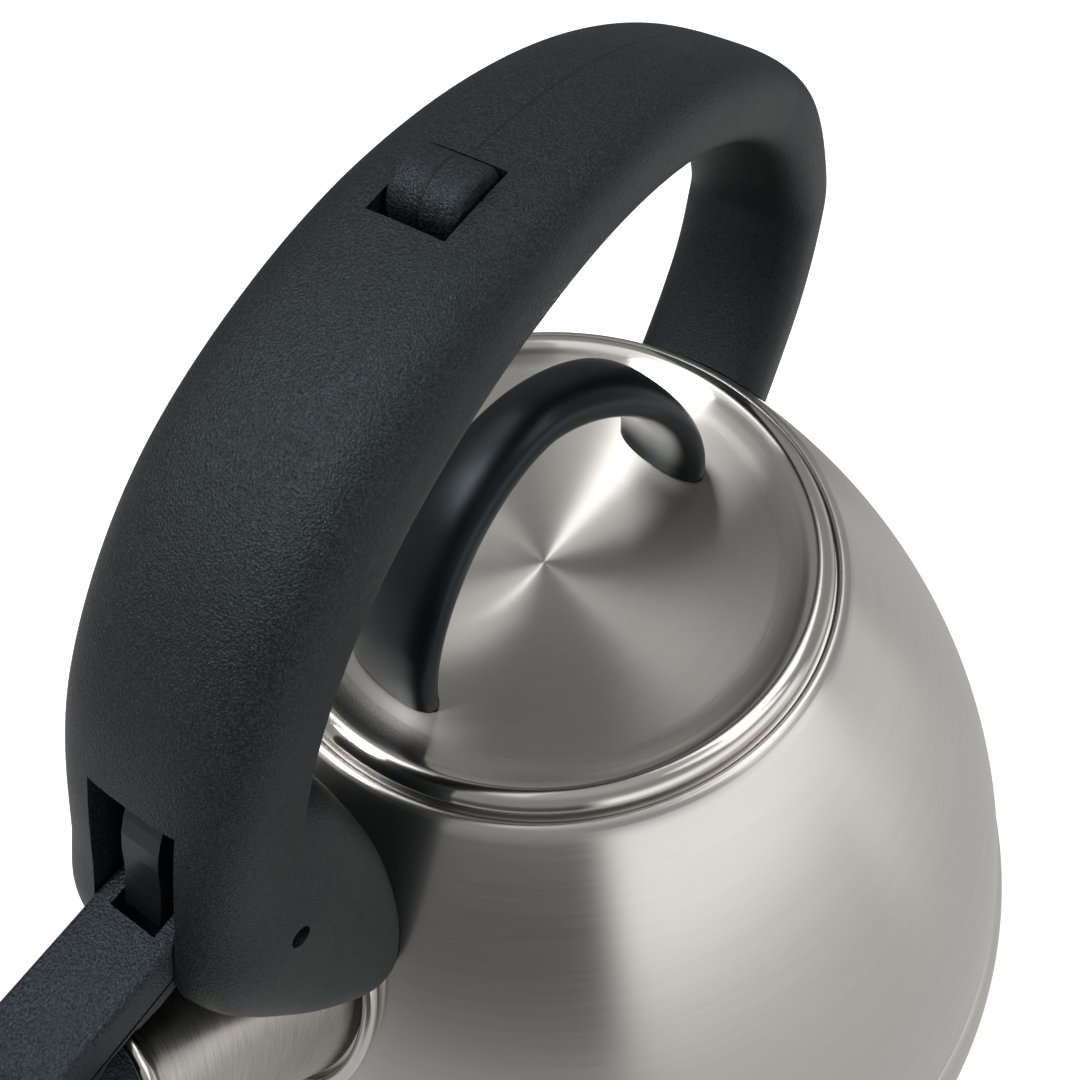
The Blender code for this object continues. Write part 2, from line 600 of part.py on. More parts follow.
def build_rear_fixing(shell, steel, screw_steel):
    """A steel tab welded to the dome inside the rear leg, and the screw that goes through it."""
    along = Vector((REAR_TAB_ALONG[0], 0, REAR_TAB_ALONG[1])).normalized()
    inward = Vector((along.z, 0, -along.x))
    root = Vector((REAR_TAB_ROOT[0], 0, REAR_TAB_ROOT[1]))

    def slab(name, low, high, thick, width):
        corners = [root + along * a + inward * b
                   for a, b in ((low, -thick), (high, -thick), (high, thick), (low, thick))]
        return plate(name, [(p.x, p.z) for p in corners], width)

    length, half = REAR_TAB_LENGTH, REAR_TAB_THICKNESS / 2
    tab = add_object("handle_rear_bracket", slab(
        "handle_rear_bracket", -0.006, length, half, REAR_TAB_WIDTH), steel)
    combine(tab, dome_cutter("bracket_foot_cutter", GAP))
    combine(shell, cutter("bracket_room_cutter", slab(
        "bracket_room", -0.008, length + GAP, half + GAP, REAR_TAB_WIDTH + GAP)))
    at = root + along * (length - 0.0042)
    seat = at - inward * 0.0045
    hole = cutter("rear_screw_cutter", rod_between(
        "rear_screw_hole", seat - inward * 0.001, at + inward * 0.0048, 0.0018))
    combine(tab, hole)
    combine(shell, hole)
    combine(shell, cutter("rear_screw_head_cutter", rod_between(
        "rear_screw_head", seat, seat - inward * 0.012, 0.0036, 20)))
    screw("handle_rear_screw", seat - inward * GAP, inward, 0.0014, 0.0031, 0.0018, 0.0088, screw_steel)


# ---- Trigger, rod and whistle lever ----
def build_trigger(plastic):
    px, pz = TRIGGER_PIVOT
    pivot = empty("trigger_axis", (px, 0, pz))
    pad = [(-4.9, 1.2), (-5.1, 5.2), (-4.9, 7.0), (-3.8, 8.3), (-1.8, 8.9), (0.4, 8.9), (2.0, 8.2),
           (2.9, 6.8), (3.0, 5.0), (2.7, 1.2), (2.3, -1.2), (-2.3, -1.2)]
    arm = [(-1.9, -0.6), (1.9, -0.6), (2.0, -7.4), (1.3, -7.4), (1.3, -5.2), (-1.3, -5.2),
           (-1.3, -7.4), (-2.0, -7.4)]
    outline = [(px + x / 1000, pz + z / 1000) for x, z in pad]
    button = add_object("trigger_button", plate("trigger_button", outline, 0.0052, bevel=0.0008),
                        plastic, pivot)
    prongs = plate("trigger_prongs", [(px + x / 1000, pz + z / 1000) for x, z in arm], 0.0046)
    prong_guide = cutter("trigger_prong_guide", prongs)
    combine(button, prong_guide, "UNION")
    between = [(px - 0.004, pz - 0.0095), (px + 0.004, pz - 0.0095), (px + 0.004, pz - 0.0030),
               (px - 0.004, pz - 0.0030)]
    combine(button, cutter("trigger_gap_cutter", plate("trigger_gap", between, 0.0021)))
    combine(button, cutter("trigger_bore_cutter", cross_bar(
        "trigger_bore", TRIGGER_PIVOT, 0.0012, 0.01)))


def build_rod(plastic, pin_steel):
    pivot = empty("rod_axis", (ARC_CENTRE[0], 0, ARC_CENTRE[1]))
    eye = (TRIGGER_PIVOT[0], TRIGGER_PIVOT[1] - TRIGGER_ARM)
    centre = [(eye[0] - 0.0020, eye[1] + 0.0001), eye, (eye[0] + 0.004, eye[1] - 0.0001)]
    centre += [polar(0.0668, 78), polar(0.0674, 66), polar(0.0682, 54), polar(0.0692, 44),
               polar(0.0706, 35), polar(0.0722, 29), polar(0.0742, 22), polar(0.0744, 16),
               (0.0909, 0.1465), LEVER_LINK, (LEVER_LINK[0] - 0.0002, LEVER_LINK[1] - 0.0022)]
    line = smooth_line(centre, 40)
    thick = 0.0012
    rings = []
    for k, point in enumerate(line):
        before, after = line[max(k - 1, 0)], line[min(k + 1, len(line) - 1)]
        along = Vector((after[0] - before[0], 0, after[1] - before[1])).normalized()
        out = Vector((along.z, 0, -along.x))
        from_eye = min(max((math.dist(point, eye) - 0.0060) / 0.0030, 0), 1)
        from_link = min(max((math.dist(point, LEVER_LINK) - 0.0030) / 0.0020, 0), 1)
        width = 0.0017 + 0.0015 * from_eye
        deep = thick + 0.0005 * (1 - from_eye) + 0.0010 * (1 - from_link)
        at = Vector((point[0], 0, point[1]))
        rings.append([at + out * d + Vector((0, y, 0))
                      for d, y in ((-deep, -width), (-deep, width), (deep, width), (deep, -width))])
    rod = add_object("pull_rod", lofted("pull_rod", rings), plastic, pivot)
    combine(rod, cutter("rod_eye_cutter", cross_bar("rod_eye", eye, 0.0009, 0.006)))
    x, z = LEVER_LINK
    slot = [(x + dx, z + dz) for dx, dz in ((-0.0013, -0.0006), (-0.0009, -0.0011), (0.0006, -0.0011),
                                          (0.0011, -0.0006), (0.0011, 0.0006), (0.0006, 0.0011),
                                          (-0.0009, 0.0011), (-0.0013, 0.0006))]
    combine(rod, cutter("rod_slot_cutter", plate("rod_slot", slot, 0.006)))
    add_object("rod_top_pin", cross_bar("rod_top_pin", eye, 0.0007, 0.0044), pin_steel, pivot)


def build_lever(plastic, steel, rubber, pin_steel):
    pivot = empty("lever_axis", (LEVER_PIVOT[0], 0, LEVER_PIVOT[1]))
    middle, out, up = spout_axis()
    face = middle + out * (CAP_LENGTH + 2 * GAP)

    def on_face(along, rise):
        point = face + out * along + up * rise
        return (point.x, point.z)

    hub_x, hub_z = LEVER_PIVOT
    tail = [(hub_x + 0.0062 * math.cos(math.radians(a)), hub_z - 0.0004 + 0.0057 * math.sin(math.radians(a)))
            for a in (110, 135, 160, 185, 210, 235, 255)]
    outline = ([(hub_x, LEVER_TOP)] + tail + [(hub_x, LEVER_BOTTOM - 0.0018), (0.0895, LEVER_BOTTOM),
               (0.1085, LEVER_BOTTOM), (0.1180, 0.1330)] + [on_face(-0.001, -0.0035), on_face(0.0010, -0.0050),
               on_face(0.0030, -0.0030), on_face(0.0034, 0.0040), on_face(0.0026, 0.0110),
               (0.1165, 0.1455), (0.1120, LEVER_TOP)])
    lever = add_object("whistle_lever", plate("whistle_lever", outline, LEVER_WIDTH, bevel=0.0009),
                       plastic, pivot)
    cap_room = rod_between("cap_room", middle - out * 0.02, face, CAP_RADIUS + GAP, 32)
    combine(lever, cutter("cap_room_cutter", cap_room))
    pocket = [(0.0790, 0.125), (0.0945, 0.125), (0.0945, 0.155), (0.0790, 0.155)]
    combine(lever, cutter("lever_pocket_cutter", plate("lever_pocket", pocket, 0.0040)))
    combine(lever, cutter("lever_bore_cutter", cross_bar("lever_bore", LEVER_PIVOT, 0.0018, 0.01)))
    combine(lever, cutter("link_bore_cutter", cross_bar("link_bore", LEVER_LINK, 0.0009, 0.0062)))
    add_object("lever_link_pin", cross_bar("lever_link_pin", LEVER_LINK, 0.0007, 0.0059), pin_steel, pivot)

    lower = [(0.0900, LEVER_BOTTOM - GAP), (0.1040, LEVER_BOTTOM - GAP), (0.1040, 0.1362),
             (0.1000, 0.1354), (0.0920, 0.1354)]
    add_object("lever_lower_plate", plate("lever_lower_plate", lower, 0.0062, bevel=0.0005), plastic, pivot)

    turn = out.to_track_quat("Z", "Y").to_matrix().to_4x4()
    place = Matrix.Translation(middle) @ turn
    start, end = 0.0006, 0.0006 + CAP_LENGTH
    inner = CAP_RADIUS - CAP_WALL
    cap = turned("whistle_cap", [
        (inner, start), (CAP_RADIUS - 0.0004, start), (CAP_RADIUS, start + 0.0005),
        (CAP_RADIUS, end - 0.0012), (CAP_RADIUS - 0.0012, end), (0.0024, end),
        (0.0024, end - CAP_WALL), (inner - 0.0008, end - CAP_WALL), (inner, end - CAP_WALL - 0.0008)], 32)
    cap.transform(place)
    add_object("whistle_cap", cap, plastic, pivot)
    mouth_hole = rod_between("sound_hole", face - out * 0.01, face + out * 0.01, 0.0030, 16)
    combine(lever, cutter("sound_hole_cutter", mouth_hole))
    fit = inner - GAP
    for name, low, high in (("whistle_outer_disc", 0.0083, 0.0087), ("whistle_inner_disc", 0.0058, 0.0062)):
        disc = turned(name, [(0.0012, low), (fit, low), (fit, high), (0.0012, high)], 24)
        disc.transform(place)
        add_object(name, disc, steel, pivot)
    spacer = turned("whistle_spacer", [(fit - 0.0016, 0.0065), (fit, 0.0065), (fit, 0.0080),
                                       (fit - 0.0016, 0.0080)], 24)
    spacer.transform(place)
    add_object("whistle_spacer", spacer, steel, pivot)
    seal = turned("cap_seal", [(fit - 0.0022, 0.0007), (fit - 0.0004, 0.0007), (fit, 0.0012), (fit, 0.0053),
                               (fit - 0.0022, 0.0053)], 24)
    seal.transform(place)
    add_object("cap_seal", seal, rubber, pivot)


def build_spring(spring_steel):
    """A torsion spring around the lever's pivot pin, as a coil with two short legs."""
    curve = bpy.data.curves.new("lever_spring", "CURVE")
    curve.dimensions = "3D"
    curve.bevel_depth = 0.00035
    curve.bevel_resolution = 0
    curve.use_fill_caps = True
    turns, steps, radius, half = 4, 9, 0.0026, 0.0028
    points = []
    total = turns * steps + 3
    for k in range(total + 1):
        angle = math.radians(200) - math.tau * k / steps
        points.append((LEVER_PIVOT[0] + radius * math.cos(angle), -half + 2 * half * k / total,
                       LEVER_PIVOT[1] + radius * math.sin(angle)))
    line = curve.splines.new("POLY")
    line.points.add(len(points) - 1)
    for slot, point in zip(line.points, points):
        slot.co = (*point, 1)
    obj = bpy.data.objects.new("lever_spring", curve)
    curve.materials.append(spring_steel)
    bpy.context.scene.collection.objects.link(obj)


def lift_all():
    """Raises the kettle so that its underside is at zero height."""
    up = Matrix.Translation((0, 0, LIFT))
    for obj in bpy.data.objects:
        if obj.type == "EMPTY":
            obj.location.z += LIFT
        else:
            obj.data.transform(up)
    for obj in bpy.data.objects:
        if obj.parent:
            obj.matrix_parent_inverse = Matrix.Translation(-obj.parent.location)


def main():
    for obj in list(bpy.data.objects):
        bpy.data.objects.remove(obj)
    steel = material("brushed_steel", (0.55, 0.54, 0.51), 0.32, 1.0)
    polished = material("polished_steel", (0.68, 0.67, 0.64), 0.12, 1.0)
    aluminium = material("aluminium", (0.72, 0.72, 0.72), 0.4, 1.0)
    plastic = material("black_plastic", (0.012, 0.013, 0.015), 0.55)
    satin = material("satin_plastic", (0.014, 0.016, 0.020), 0.38)
    rubber = material("seal_rubber", (0.05, 0.05, 0.05), 0.7)
    fixings = material("fixing_steel", (0.5, 0.5, 0.5), 0.3, 1.0)
    build_body(steel, aluminium)
    build_spout(steel, polished)
    build_lid(steel, satin, fixings)
    build_handle(plastic, steel, fixings)
    build_trigger(plastic)
    build_rod(plastic, fixings)
    build_lever(plastic, steel, rubber, fixings)
    build_spring(fixings)
    lift_all()


main()
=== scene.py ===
"""The looks of the whistling kettle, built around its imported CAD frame.

Metres, +Z up. The origin is the middle of the underside, +X runs towards the spout, and the
handle lies in the XZ plane. Heights in the shapes below are measured from a level LIFT above
the underside, as in the CAD, and add_piece raises every mesh by LIFT.
"""
import json
import math

import bmesh
import bpy
from mathutils import Matrix, Vector

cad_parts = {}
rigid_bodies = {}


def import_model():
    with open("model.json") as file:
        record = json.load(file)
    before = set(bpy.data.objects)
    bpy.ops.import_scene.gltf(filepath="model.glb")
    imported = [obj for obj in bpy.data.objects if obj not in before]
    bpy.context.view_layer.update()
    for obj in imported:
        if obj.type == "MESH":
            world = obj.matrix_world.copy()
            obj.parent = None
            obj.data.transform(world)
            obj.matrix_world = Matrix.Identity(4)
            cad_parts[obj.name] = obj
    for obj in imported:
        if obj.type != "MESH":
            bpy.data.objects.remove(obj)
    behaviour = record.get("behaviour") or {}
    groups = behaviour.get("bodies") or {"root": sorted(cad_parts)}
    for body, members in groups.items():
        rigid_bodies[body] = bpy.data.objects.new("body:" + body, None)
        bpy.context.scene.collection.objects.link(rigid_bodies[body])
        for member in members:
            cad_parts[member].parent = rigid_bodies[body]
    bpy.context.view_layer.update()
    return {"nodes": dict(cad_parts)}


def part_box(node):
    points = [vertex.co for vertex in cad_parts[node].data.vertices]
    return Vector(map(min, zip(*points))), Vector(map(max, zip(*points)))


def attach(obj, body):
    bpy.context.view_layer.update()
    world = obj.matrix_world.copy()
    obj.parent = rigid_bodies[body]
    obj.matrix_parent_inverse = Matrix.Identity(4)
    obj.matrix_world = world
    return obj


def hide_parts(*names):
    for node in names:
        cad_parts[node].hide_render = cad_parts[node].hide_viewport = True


for old in list(bpy.data.objects):
    bpy.data.objects.remove(old)

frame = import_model()
nodes = frame["nodes"]

# ---- Dimensions: those that meet a CAD piece are the CAD's. Every WIDTH is half of the width ----
LIFT = -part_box("base_cap")[0].z + 0.022
GAP = 0.0003                    # clearance between pieces that sit together
SHEET = 0.0010                  # thickness of the steel sheet

BODY_RADIUS = 0.1139
CREASE_HEIGHT = 0.0098
BODY_TAPER = 0.2333
BODY_CURVE = 2.695
SHOULDER_HEIGHT = 0.1178
LEDGE_HEIGHT = 0.1174
COLLAR_RADIUS = 0.0493
LOWER_SHELL = (                 # radius, height
    (0.1128, 0.0096), (0.1147, 0.0076), (0.1167, 0.0041), (0.1183, -0.0007), (0.1192, -0.0060),
    (0.1189, -0.0110), (0.1170, -0.0145), (0.1138, -0.0165), (0.1080, -0.0170), (0.0900, -0.0170))
BASE_RADIUS = 0.0995
BASE_WALL = 0.0014
BASE_FLOOR = 0.0007

LID_SKIRT_RADIUS = 0.0486
LID_SKIRT_LOW = 0.1040
LID_CENTRE_HEIGHT = 0.1120
LID_DISH = 0.0066               # how much lower the lid's middle is than its edge
LID_FLAT_RADIUS = 0.0440        # where the dish ends and the crown begins
LID_BED_RADIUS = 0.0460         # the dish's depth is measured at this radius
LID_TURN = math.radians(-11)
STRAP_REACH = 0.0394
STRAP_RISE = 0.0410
STRAP_BASE = 0.1175
STRAP_SHIFT = 0.0016            # the strap sits this far forward of the lid's middle
STRAP_SHAPE = 1.13              # exponent of the arch: above 1 draws its shoulders in
STRAP_FOOT_WIDTH = 0.0105
STRAP_TOP_WIDTH = 0.0060
STRAP_THICKNESS = 0.0072
STRAP_ENDS = 0.004              # length of the straight ends under the arch

SPOUT_WIDTH = 0.0147
MOUTH_WIDTH = 0.0134
ROOT_BEAD = 0.0014
LIP_LENGTH = 0.0016             # the polished end of the spout
SPOUT_TOP_LINE = ((0.0665, 0.0960), (0.0850, 0.1140), (0.1059, 0.1331))
SPOUT_LOW_LINE = ((0.0905, 0.0497), (0.1045, 0.0878), (0.1249, 0.1141))

HANDLE_EXPONENT = 3.1           # of the superellipse that is the handle's section
HANDLE_LINE = (                 # outer line of the handle in X and Z, from the foot to the rear end
    (0.0972, 0.1336), (0.0935, 0.1483), (0.0811, 0.1750), (0.0610, 0.1950), (0.0344, 0.2064),
    (0.0057, 0.2099), (-0.0227, 0.2059), (-0.0496, 0.1948), (-0.0726, 0.1774),
    (-0.0859, 0.1537), (-0.0869, 0.1395), (-0.0832, 0.1238), (-0.0739, 0.1065), (-0.0640, 0.0930))
# Half-width and depth of the handle, by share of its length.
HANDLE_WIDTHS = ((0, 0.0165), (0.25, 0.0160), (0.38, 0.0154), (0.52, 0.0140),
                 (0.66, 0.0125), (0.80, 0.0137), (0.92, 0.0148), (1, 0.0155))
HANDLE_DEPTHS = ((0, 0.0184), (0.25, 0.0178), (0.38, 0.0164), (0.52, 0.0150),
                 (0.66, 0.0146), (0.80, 0.0148), (0.92, 0.0165), (1, 0.0185))
FOOT_LEVELS = (                 # height, rear X, front X, half-width
    (0.0935, 0.0730, 0.0775, 0.0165), (0.0950, 0.0705, 0.0795, 0.0178),
    (0.0985, 0.0685, 0.0830, 0.0184), (0.1040, 0.0662, 0.0868, 0.0185),
    (0.1110, 0.0648, 0.0905, 0.0185), (0.1190, 0.0641, 0.0936, 0.0184),
    (0.1270, 0.0640, 0.0962, 0.0183), (0.1340, 0.0646, 0.0976, 0.0182),
    (0.1400, 0.0654, 0.0968, 0.0180), (0.1460, 0.0662, 0.0945, 0.0172),
    (0.1515, 0.0672, 0.0920, 0.0162), (0.1560, 0.0698, 0.0890, 0.0152),
    (0.1600, 0.0725, 0.0865, 0.0140))
FOOT_SHAPE = 0.55               # 1 would make the foot's levels oval, less makes them squarer
SKIN_VOXEL = 0.00065
BLEND_HEIGHT = 0.1500           # the foot runs into the handle round this height,
BLEND_REACH = 0.0120            # and is smoothed once more this far above and below it
HANDLE_WALL = 0.0030
CHANNEL_WIDTH = 0.0065
TRIGGER_PIVOT = (0.0165, 0.2028)
TRIGGER_SLOT = (0.0110, 0.0238)
TRIGGER_SLOT_WIDTH = 0.0057
LEVER_PIVOT = (0.0835, 0.1410)
LEVER_LINK = (0.0905, 0.1423)
LEVER_WIDTH = 0.0070
LEVER_TOP = 0.1463
LEVER_BOTTOM = 0.1383
SLOT_WIDTH = 0.0073
SLOT_TOP = 0.1660
LEVER_ROOM_FLOOR = 0.1265
CAP_RADIUS = 0.0145
CAP_LENGTH = 0.0125
CAP_WALL = 0.0016

ROUND = 192                     # steps round a turned piece
FINE_ROUND = 256                # steps round the large ones
SHARP = 38                      # edges sharper than this, in degrees, aren't shaded smooth
PLASTIC_SHINE = 0.34
MOULD_LINE = (0.00011, 0.00028)  # half-width of the mould's parting line and its painted shade, and with its soft edge


# ---- Node materials ----
class Nodes:
    """A small helper for building node materials."""

    def __init__(self, name, **values):
        self.material = bpy.data.materials.new(name)
        self.material.use_nodes = True
        self.tree = self.material.node_tree
        self.shader = self.tree.nodes["Principled BSDF"]
        for socket, value in values.items():
            self.shader.inputs[socket.replace("_", " ")].default_value = value

    def add(self, kind, inputs=(), **settings):
        """A node with the given settings. inputs maps a socket to a value or another socket."""
        node = self.tree.nodes.new(kind)
        for key, value in settings.items():
            setattr(node, key, value)
        for socket, value in dict(inputs).items():
            if isinstance(value, bpy.types.NodeSocket):
                self.tree.links.new(value, node.inputs[socket])
            else:
                node.inputs[socket].default_value = value
        return node

    def math(self, operation, a, b=0.0):
        return self.add("ShaderNodeMath", {0: a, 1: b}, operation=operation).outputs[0]

    def plus(self, a, b):
        return self.math("ADD", a, b)

    def times(self, a, b):
        return self.math("MULTIPLY", a, b)

    def dot(self, point, direction):
        return self.add("ShaderNodeVectorMath", {0: point, 1: tuple(direction)},
                        operation="DOT_PRODUCT").outputs["Value"]

    def place(self):
        """The object's own coordinates, as a vector and as X, Y and Z."""
        point = self.add("ShaderNodeTexCoord").outputs["Object"]
        split = self.add("ShaderNodeSeparateXYZ", {0: point})
        return point, split.outputs[0], split.outputs[1], split.outputs[2]

    def vector(self, x, y, z):
        return self.add("ShaderNodeCombineXYZ", {0: x, 1: y, 2: z}).outputs[0]

    def noise(self, point, scale, detail=2.0, roughness=0.5):
        inputs = {"Vector": point, "Scale": scale, "Detail": detail, "Roughness": roughness}
        return self.add("ShaderNodeTexNoise", inputs).outputs["Fac"]

    def span(self, value, low, high, to_low=0.0, to_high=1.0):
        """The value stretched from one range to another, held at both ends."""
        inputs = {"Value": value, "From Min": low, "From Max": high,
                  "To Min": to_low, "To Max": to_high}
        return self.add("ShaderNodeMapRange", inputs).outputs["Result"]

    def mix(self, share, low, high):
        """A blend of two colours, each an (r, g, b) value or a socket."""
        node = self.add("ShaderNodeMix", {"Factor": share}, data_type="RGBA")
        for socket, value in ((node.inputs[6], low), (node.inputs[7], high)):
            if isinstance(value, bpy.types.NodeSocket):
                self.tree.links.new(value, socket)
            else:
                socket.default_value = (*value, 1)
        return node.outputs[2]

    def bump(self, height, distance, strength=1.0, normal=None):
        inputs = {"Height": height, "Distance": distance, "Strength": strength}
        if normal is not None:
            inputs["Normal"] = normal
        return self.add("ShaderNodeBump", inputs).outputs["Normal"]

    def link(self, value, socket):
        self.tree.links.new(value, self.shader.inputs[socket])


def grained_plastic(name, low, high, grain, relief, rough, seam=None):
    """Black moulded plastic with a spark-eroded grain, whose brightest specks in the colour are
    painted glints. grain is the number of grains per metre.

    seam places the mould's parting line, which runs along the middle (Y = 0): the X where it ends,
    the height above which it shows, and whether it lies behind that X or ahead of it. The line is a
    shallow groove whose colour is darkened as painted shade.
    """
    made = Nodes(name, Specular_IOR_Level=PLASTIC_SHINE, Specular_Tint=(0.80, 0.95, 1.0, 1.0))
    point, x, y, z = made.place()
    fine = made.noise(point, grain, 2.0, 0.55)
    voronoi = made.add("ShaderNodeTexVoronoi", {"Vector": point, "Scale": grain * 0.8})
    cells = voronoi.outputs["Distance"]
    broad = made.noise(point, 45.0, 2.0)
    normal = made.bump(made.plus(fine, made.times(cells, 0.5)), relief)
    # Grain tone from low to high; it varies at random, and its brightest specks are painted glints,
    # the sparkle of light on the grain.
    colour = made.mix(made.span(fine, 0.42, 0.72), low, high)
    if seam:
        end, floor, is_behind = seam
        soft = 0.001
        line = made.span(made.math("ABSOLUTE", y), *MOULD_LINE, 1.0, 0.0)
        shown = made.span(x, end, end + soft, *((1.0, 0.0) if is_behind else (0.0, 1.0)))
        above = made.span(z, LIFT + floor, LIFT + floor + soft)
        line = made.times(made.times(line, shown), above)
        normal = made.bump(line, -0.00012, 0.8, normal)
        # Painted shade: the colour is darkened along the parting line's groove.
        colour = made.mix(made.times(line, 0.7), colour, (0.001, 0.001, 0.001))
    made.link(normal, "Normal")
    made.link(colour, "Base Color")
    made.link(made.span(broad, 0.3, 0.7, rough - 0.03, rough + 0.04), "Roughness")
    return made.material


def satin_plastic():
    """The smooth satin plastic of the lid's strap."""
    made = Nodes("satin_plastic", Specular_IOR_Level=PLASTIC_SHINE,
                 Specular_Tint=(0.78, 0.92, 1.0, 1.0))
    point = made.place()[0]
    fine = made.noise(point, 5200.0, 2.0)
    broad = made.noise(point, 90.0, 3.0)
    made.link(made.bump(fine, 0.000012), "Normal")
    made.link(made.mix(broad, (0.0030, 0.0044, 0.0062), (0.0055, 0.0074, 0.0098)), "Base Color")
    made.link(made.span(broad, 0.3, 0.7, 0.30, 0.38), "Roughness")
    return made.material


def brushed_round(name, colour, dark, rough, anisotropy, across, relief, shiny=None):
    """Steel brushed round the Z axis. The strokes lie side by side across "radius" or "height".

    shiny makes the outer part polished: the radius where the brushing starts to fade, the
    radius where it has ended, and the roughness from there.
    """
    made = Nodes(name, Metallic=1.0, Anisotropic=anisotropy, Anisotropic_Rotation=0.25)
    point, x, y, z = made.place()
    radius = made.math("SQRT", made.plus(made.times(x, x), made.times(y, y)))
    step = radius if across == "radius" else z
    east, north = made.math("DIVIDE", x, radius), made.math("DIVIDE", y, radius)

    def strokes(per_metre, per_turn):
        return made.vector(made.times(step, per_metre), made.times(east, per_turn),
                           made.times(north, per_turn))

    fine = made.noise(strokes(2600.0, 3.0), 1.0, 4.0, 0.6)
    broad = made.noise(strokes(420.0, 1.5), 1.0, 3.0)
    cloud = made.noise(point, 26.0, 3.0)
    tone = made.plus(made.times(fine, 0.55), made.times(broad, 0.45))
    made.link(made.mix(made.span(tone, 0.3, 0.7), dark, colour), "Base Color")
    spread = made.plus(made.times(fine, 0.05), made.times(cloud, 0.05))
    spread = made.plus(spread, rough - 0.05)
    grain = fine
    if shiny:
        fade, end, polish = shiny
        share = made.span(radius, fade, end)
        brushed = made.math("SUBTRACT", 1.0, share)
        grain = made.times(fine, brushed)
        spread = made.plus(made.times(spread, brushed), made.times(share, polish))
    made.link(made.bump(grain, relief), "Normal")
    made.link(spread, "Roughness")
    tangent = made.add("ShaderNodeTangent", direction_type="RADIAL", axis="Z")
    made.link(tangent.outputs[0], "Tangent")
    return made.material


def brushed_spout():
    """Steel brushed across the spout, with short fine strokes."""
    made = Nodes("spout_steel", Metallic=1.0, Anisotropic=0.35)
    _, out, up = spout_axis()
    point = made.place()[0]
    run, rise = made.dot(point, out), made.dot(point, up)
    strokes = made.vector(made.times(run, 3300.0), made.times(rise, 150.0), 0.0)
    fine = made.noise(strokes, 1.0, 4.0, 0.65)
    tone = made.span(fine, 0.3, 0.7)
    made.link(made.bump(fine, 0.00002), "Normal")
    made.link(made.mix(tone, (0.40, 0.385, 0.36), (0.60, 0.58, 0.55)), "Base Color")
    made.link(made.span(fine, 0.3, 0.7, 0.24, 0.36), "Roughness")
    return made.material


def polished(name, colour, rough):
    """Polished steel with faint buffing swirls."""
    made = Nodes(name, Metallic=1.0)
    point = made.place()[0]
    swirl = made.noise(point, 1500.0, 3.0)
    cloud = made.noise(point, 60.0, 2.0)
    made.link(made.bump(swirl, 0.000003), "Normal")
    made.link(made.mix(cloud, tuple(part * 0.92 for part in colour), colour), "Base Color")
    made.link(made.span(cloud, 0.3, 0.7, rough * 0.75, rough * 1.3), "Roughness")
    return made.material


def plain_metal(name, colour, rough):
    """Turned or cast metal of the small fixings and hidden pieces."""
    made = Nodes(name, Metallic=1.0)
    fine = made.noise(made.place()[0], 3000.0, 3.0)
    made.link(made.bump(fine, 0.000008), "Normal")
    made.link(made.mix(fine, tuple(part * 0.8 for part in colour), colour), "Base Color")
    made.link(made.span(fine, 0.3, 0.7, rough - 0.06, rough + 0.06), "Roughness")
    return made.material


def seal_rubber():
    made = Nodes("seal_rubber")
    fine = made.noise(made.place()[0], 2400.0, 2.0)
    made.link(made.bump(fine, 0.00003), "Normal")
    made.link(made.mix(fine, (0.03, 0.03, 0.03), (0.06, 0.06, 0.06)), "Base Color")
    made.link(made.span(fine, 0.3, 0.7, 0.6, 0.75), "Roughness")
    return made.material


# ---- Mesh helpers ----
def finish_mesh(name, bm):
    """Turns a bmesh into a mesh whose faces all point outwards."""
    bmesh.ops.recalc_face_normals(bm, faces=bm.faces)
    if bm.calc_volume(signed=True) < 0:
        bmesh.ops.reverse_faces(bm, faces=bm.faces)
    mesh = bpy.data.meshes.new(name)
    bm.to_mesh(mesh)
    bm.free()
    return mesh


def scratch(mesh):
    """A mesh on an object of its own, as a guide or as work in progress."""
    obj = bpy.data.objects.new(mesh.name, mesh)
    bpy.context.scene.collection.objects.link(obj)
    return obj


def settled(obj):
    """The object's mesh with its modifiers applied."""
    bpy.context.view_layer.update()
    graph = bpy.context.evaluated_depsgraph_get()
    mesh = bpy.data.meshes.new_from_object(obj.evaluated_get(graph))
    obj.modifiers.clear()
    obj.data = mesh
    return obj


def combine(obj, mesh, operation="DIFFERENCE"):
    """Cuts the mesh from the object, or joins it on, and drops the guide."""
    guide = scratch(mesh)
    step = obj.modifiers.new("combine", "BOOLEAN")
    step.operation = operation
    step.solver = "EXACT"
    step.object = guide
    settled(obj)
    bpy.data.objects.remove(guide)
    return obj


def soften(obj, width, segments):
    """Rounds the sharp edges of an object."""
    step = obj.modifiers.new("soften", "BEVEL")
    step.width = width
    step.segments = segments
    step.limit_method = "ANGLE"
    step.angle_limit = math.radians(60)
    return settled(obj)


def add_piece(obj, name, body, finish, replaced=(), sharp=SHARP, on=None):
    """Finishes a visible piece: raises it, names it, shades it and puts it on its CAD body.

    replaced names the CAD nodes that it hides, and on is a turn or move before it is raised.
    """
    obj.data.transform(Matrix.Translation((0, 0, LIFT)) @ (on or Matrix.Identity(4)))
    obj.name = name
    obj.data.name = name
    obj.data.materials.clear()
    obj.data.materials.append(finish)
    obj.data.shade_smooth()
    obj.data.set_sharp_from_angle(angle=math.radians(sharp))
    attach(obj, body)
    if replaced:
        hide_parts(*replaced)
    return obj


def turned(name, profile, segments=ROUND):
    """A solid turned about Z. The profile is a closed outline of (radius, height) points."""
    bm = bmesh.new()
    verts = [bm.verts.new((radius, 0, height)) for radius, height in profile]
    edges = [bm.edges.new((verts[i], verts[i - 1])) for i in range(len(verts))]
    bmesh.ops.spin(bm, geom=verts + edges, cent=(0, 0, 0), axis=(0, 0, 1),
                   angle=math.tau, steps=segments, use_merge=True)
    bmesh.ops.remove_doubles(bm, verts=bm.verts, dist=1e-6)
    bmesh.ops.dissolve_degenerate(bm, edges=bm.edges, dist=1e-7)
    return finish_mesh(name, bm)


